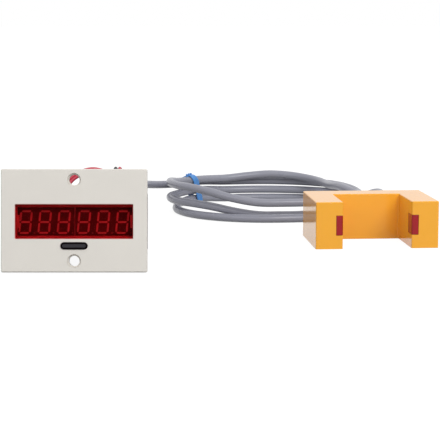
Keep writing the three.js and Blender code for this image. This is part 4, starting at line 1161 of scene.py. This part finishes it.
for node_name, (finish, width) in KEPT.items():
    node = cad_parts[node_name]
    node.data.materials.clear()
    node.data.materials.append(FINISHES[finish])
    if node_name == "reset_button":
        darken_rim(node)
    if node_name == "front_bezel":
        darken_recesses(node)
    soften(node, width * MM)


# Stage: a white floor and backdrop, and a soft plain light. Both are shown white to the camera and
# in gloss, and light the object at a plain level.
WHITE = (1, 1, 1, 1)
FLOOR_HALF = 12
FLOOR_DROP = 0.05 * MM
FLOOR_COLOR = (136, 136, 136)
FLOOR_SHOWN = (0.16, 0.16, 0.16, 1)
FLOOR_GLOW = 0.93
WORLD_COLOR = (1, 0.995, 0.985, 1)
WORLD_STRENGTH = 0.66
LAMP_TARGET = Vector((0, 0, 0.02))


def either(tree, first, second):
    """1 where either kind of ray is at hand."""
    made = tree.nodes.new("ShaderNodeMath")
    made.operation = "MAXIMUM"
    tree.links.new(first, made.inputs[0])
    tree.links.new(second, made.inputs[1])
    return made.outputs["Value"]


def make_stage():
    data = bpy.data.meshes.new("floor")
    corners = ((-1, -1), (1, -1), (1, 1), (-1, 1))
    data.from_pydata([(x * FLOOR_HALF, y * FLOOR_HALF, 0) for x, y in corners], [], [(0, 1, 2, 3)])
    floor = bpy.data.objects.new("floor", data)
    bpy.context.scene.collection.objects.link(floor)
    floor.location.z = -FLOOR_DROP
    finish = Finish("floor", FLOOR_COLOR, roughness=0.6)
    finish.mottle(50 * MM, share=0.004)
    shown = finish.node("ShaderNodeBsdfDiffuse", Color=FLOOR_SHOWN)
    glow = finish.node("ShaderNodeEmission", Color=WHITE, Strength=FLOOR_GLOW)
    both = finish.node("ShaderNodeAddShader")
    rays = finish.node("ShaderNodeLightPath").outputs
    mixed = finish.node("ShaderNodeMixShader")
    finish.link(shown.outputs["BSDF"], both.inputs[0])
    finish.link(glow.outputs["Emission"], both.inputs[1])
    seen = either(finish.tree, rays["Is Camera Ray"], rays["Is Glossy Ray"])
    finish.link(seen, mixed.inputs["Fac"])
    finish.link(finish.shader.outputs["BSDF"], mixed.inputs[1])
    finish.link(both.outputs["Shader"], mixed.inputs[2])
    finish.link(mixed.outputs["Shader"], finish.output.inputs["Surface"])
    data.materials.append(finish.material)


def make_world():
    world = bpy.data.worlds.new("world")
    bpy.context.scene.world = world
    world.use_nodes = True
    tree = world.node_tree
    light = tree.nodes["Background"]
    light.inputs["Color"].default_value = WORLD_COLOR
    light.inputs["Strength"].default_value = WORLD_STRENGTH
    shown = tree.nodes.new("ShaderNodeBackground")
    shown.inputs["Color"].default_value = WHITE
    shown.inputs["Strength"].default_value = 1
    rays = tree.nodes.new("ShaderNodeLightPath").outputs
    seen = either(tree, rays["Is Camera Ray"], rays["Is Glossy Ray"])
    seen = either(tree, seen, rays["Is Transmission Ray"])
    mixed = tree.nodes.new("ShaderNodeMixShader")
    tree.links.new(seen, mixed.inputs["Fac"])
    tree.links.new(light.outputs["Background"], mixed.inputs[1])
    tree.links.new(shown.outputs["Background"], mixed.inputs[2])
    tree.links.new(mixed.outputs["Shader"], tree.nodes["World Output"].inputs["Surface"])


def make_lamp(name, place, size, watts):
    """A round lamp that faces the object."""
    data = bpy.data.lights.new(name, "AREA")
    data.shape = "DISK"
    data.size = size
    data.energy = watts
    lamp = bpy.data.objects.new(name, data)
    bpy.context.scene.collection.objects.link(lamp)
    lamp.location = place
    lamp.rotation_euler = (LAMP_TARGET - Vector(place)).to_track_quat("-Z", "Y").to_euler()


make_stage()
make_world()
make_lamp("lamp_above", place=(0.6, -1.1, 1), size=0.9, watts=13.3)
make_lamp("lamp_left", place=(-0.9, -1.1, 0.9), size=0.7, watts=2)
bpy.context.scene.view_settings.view_transform = "Standard"
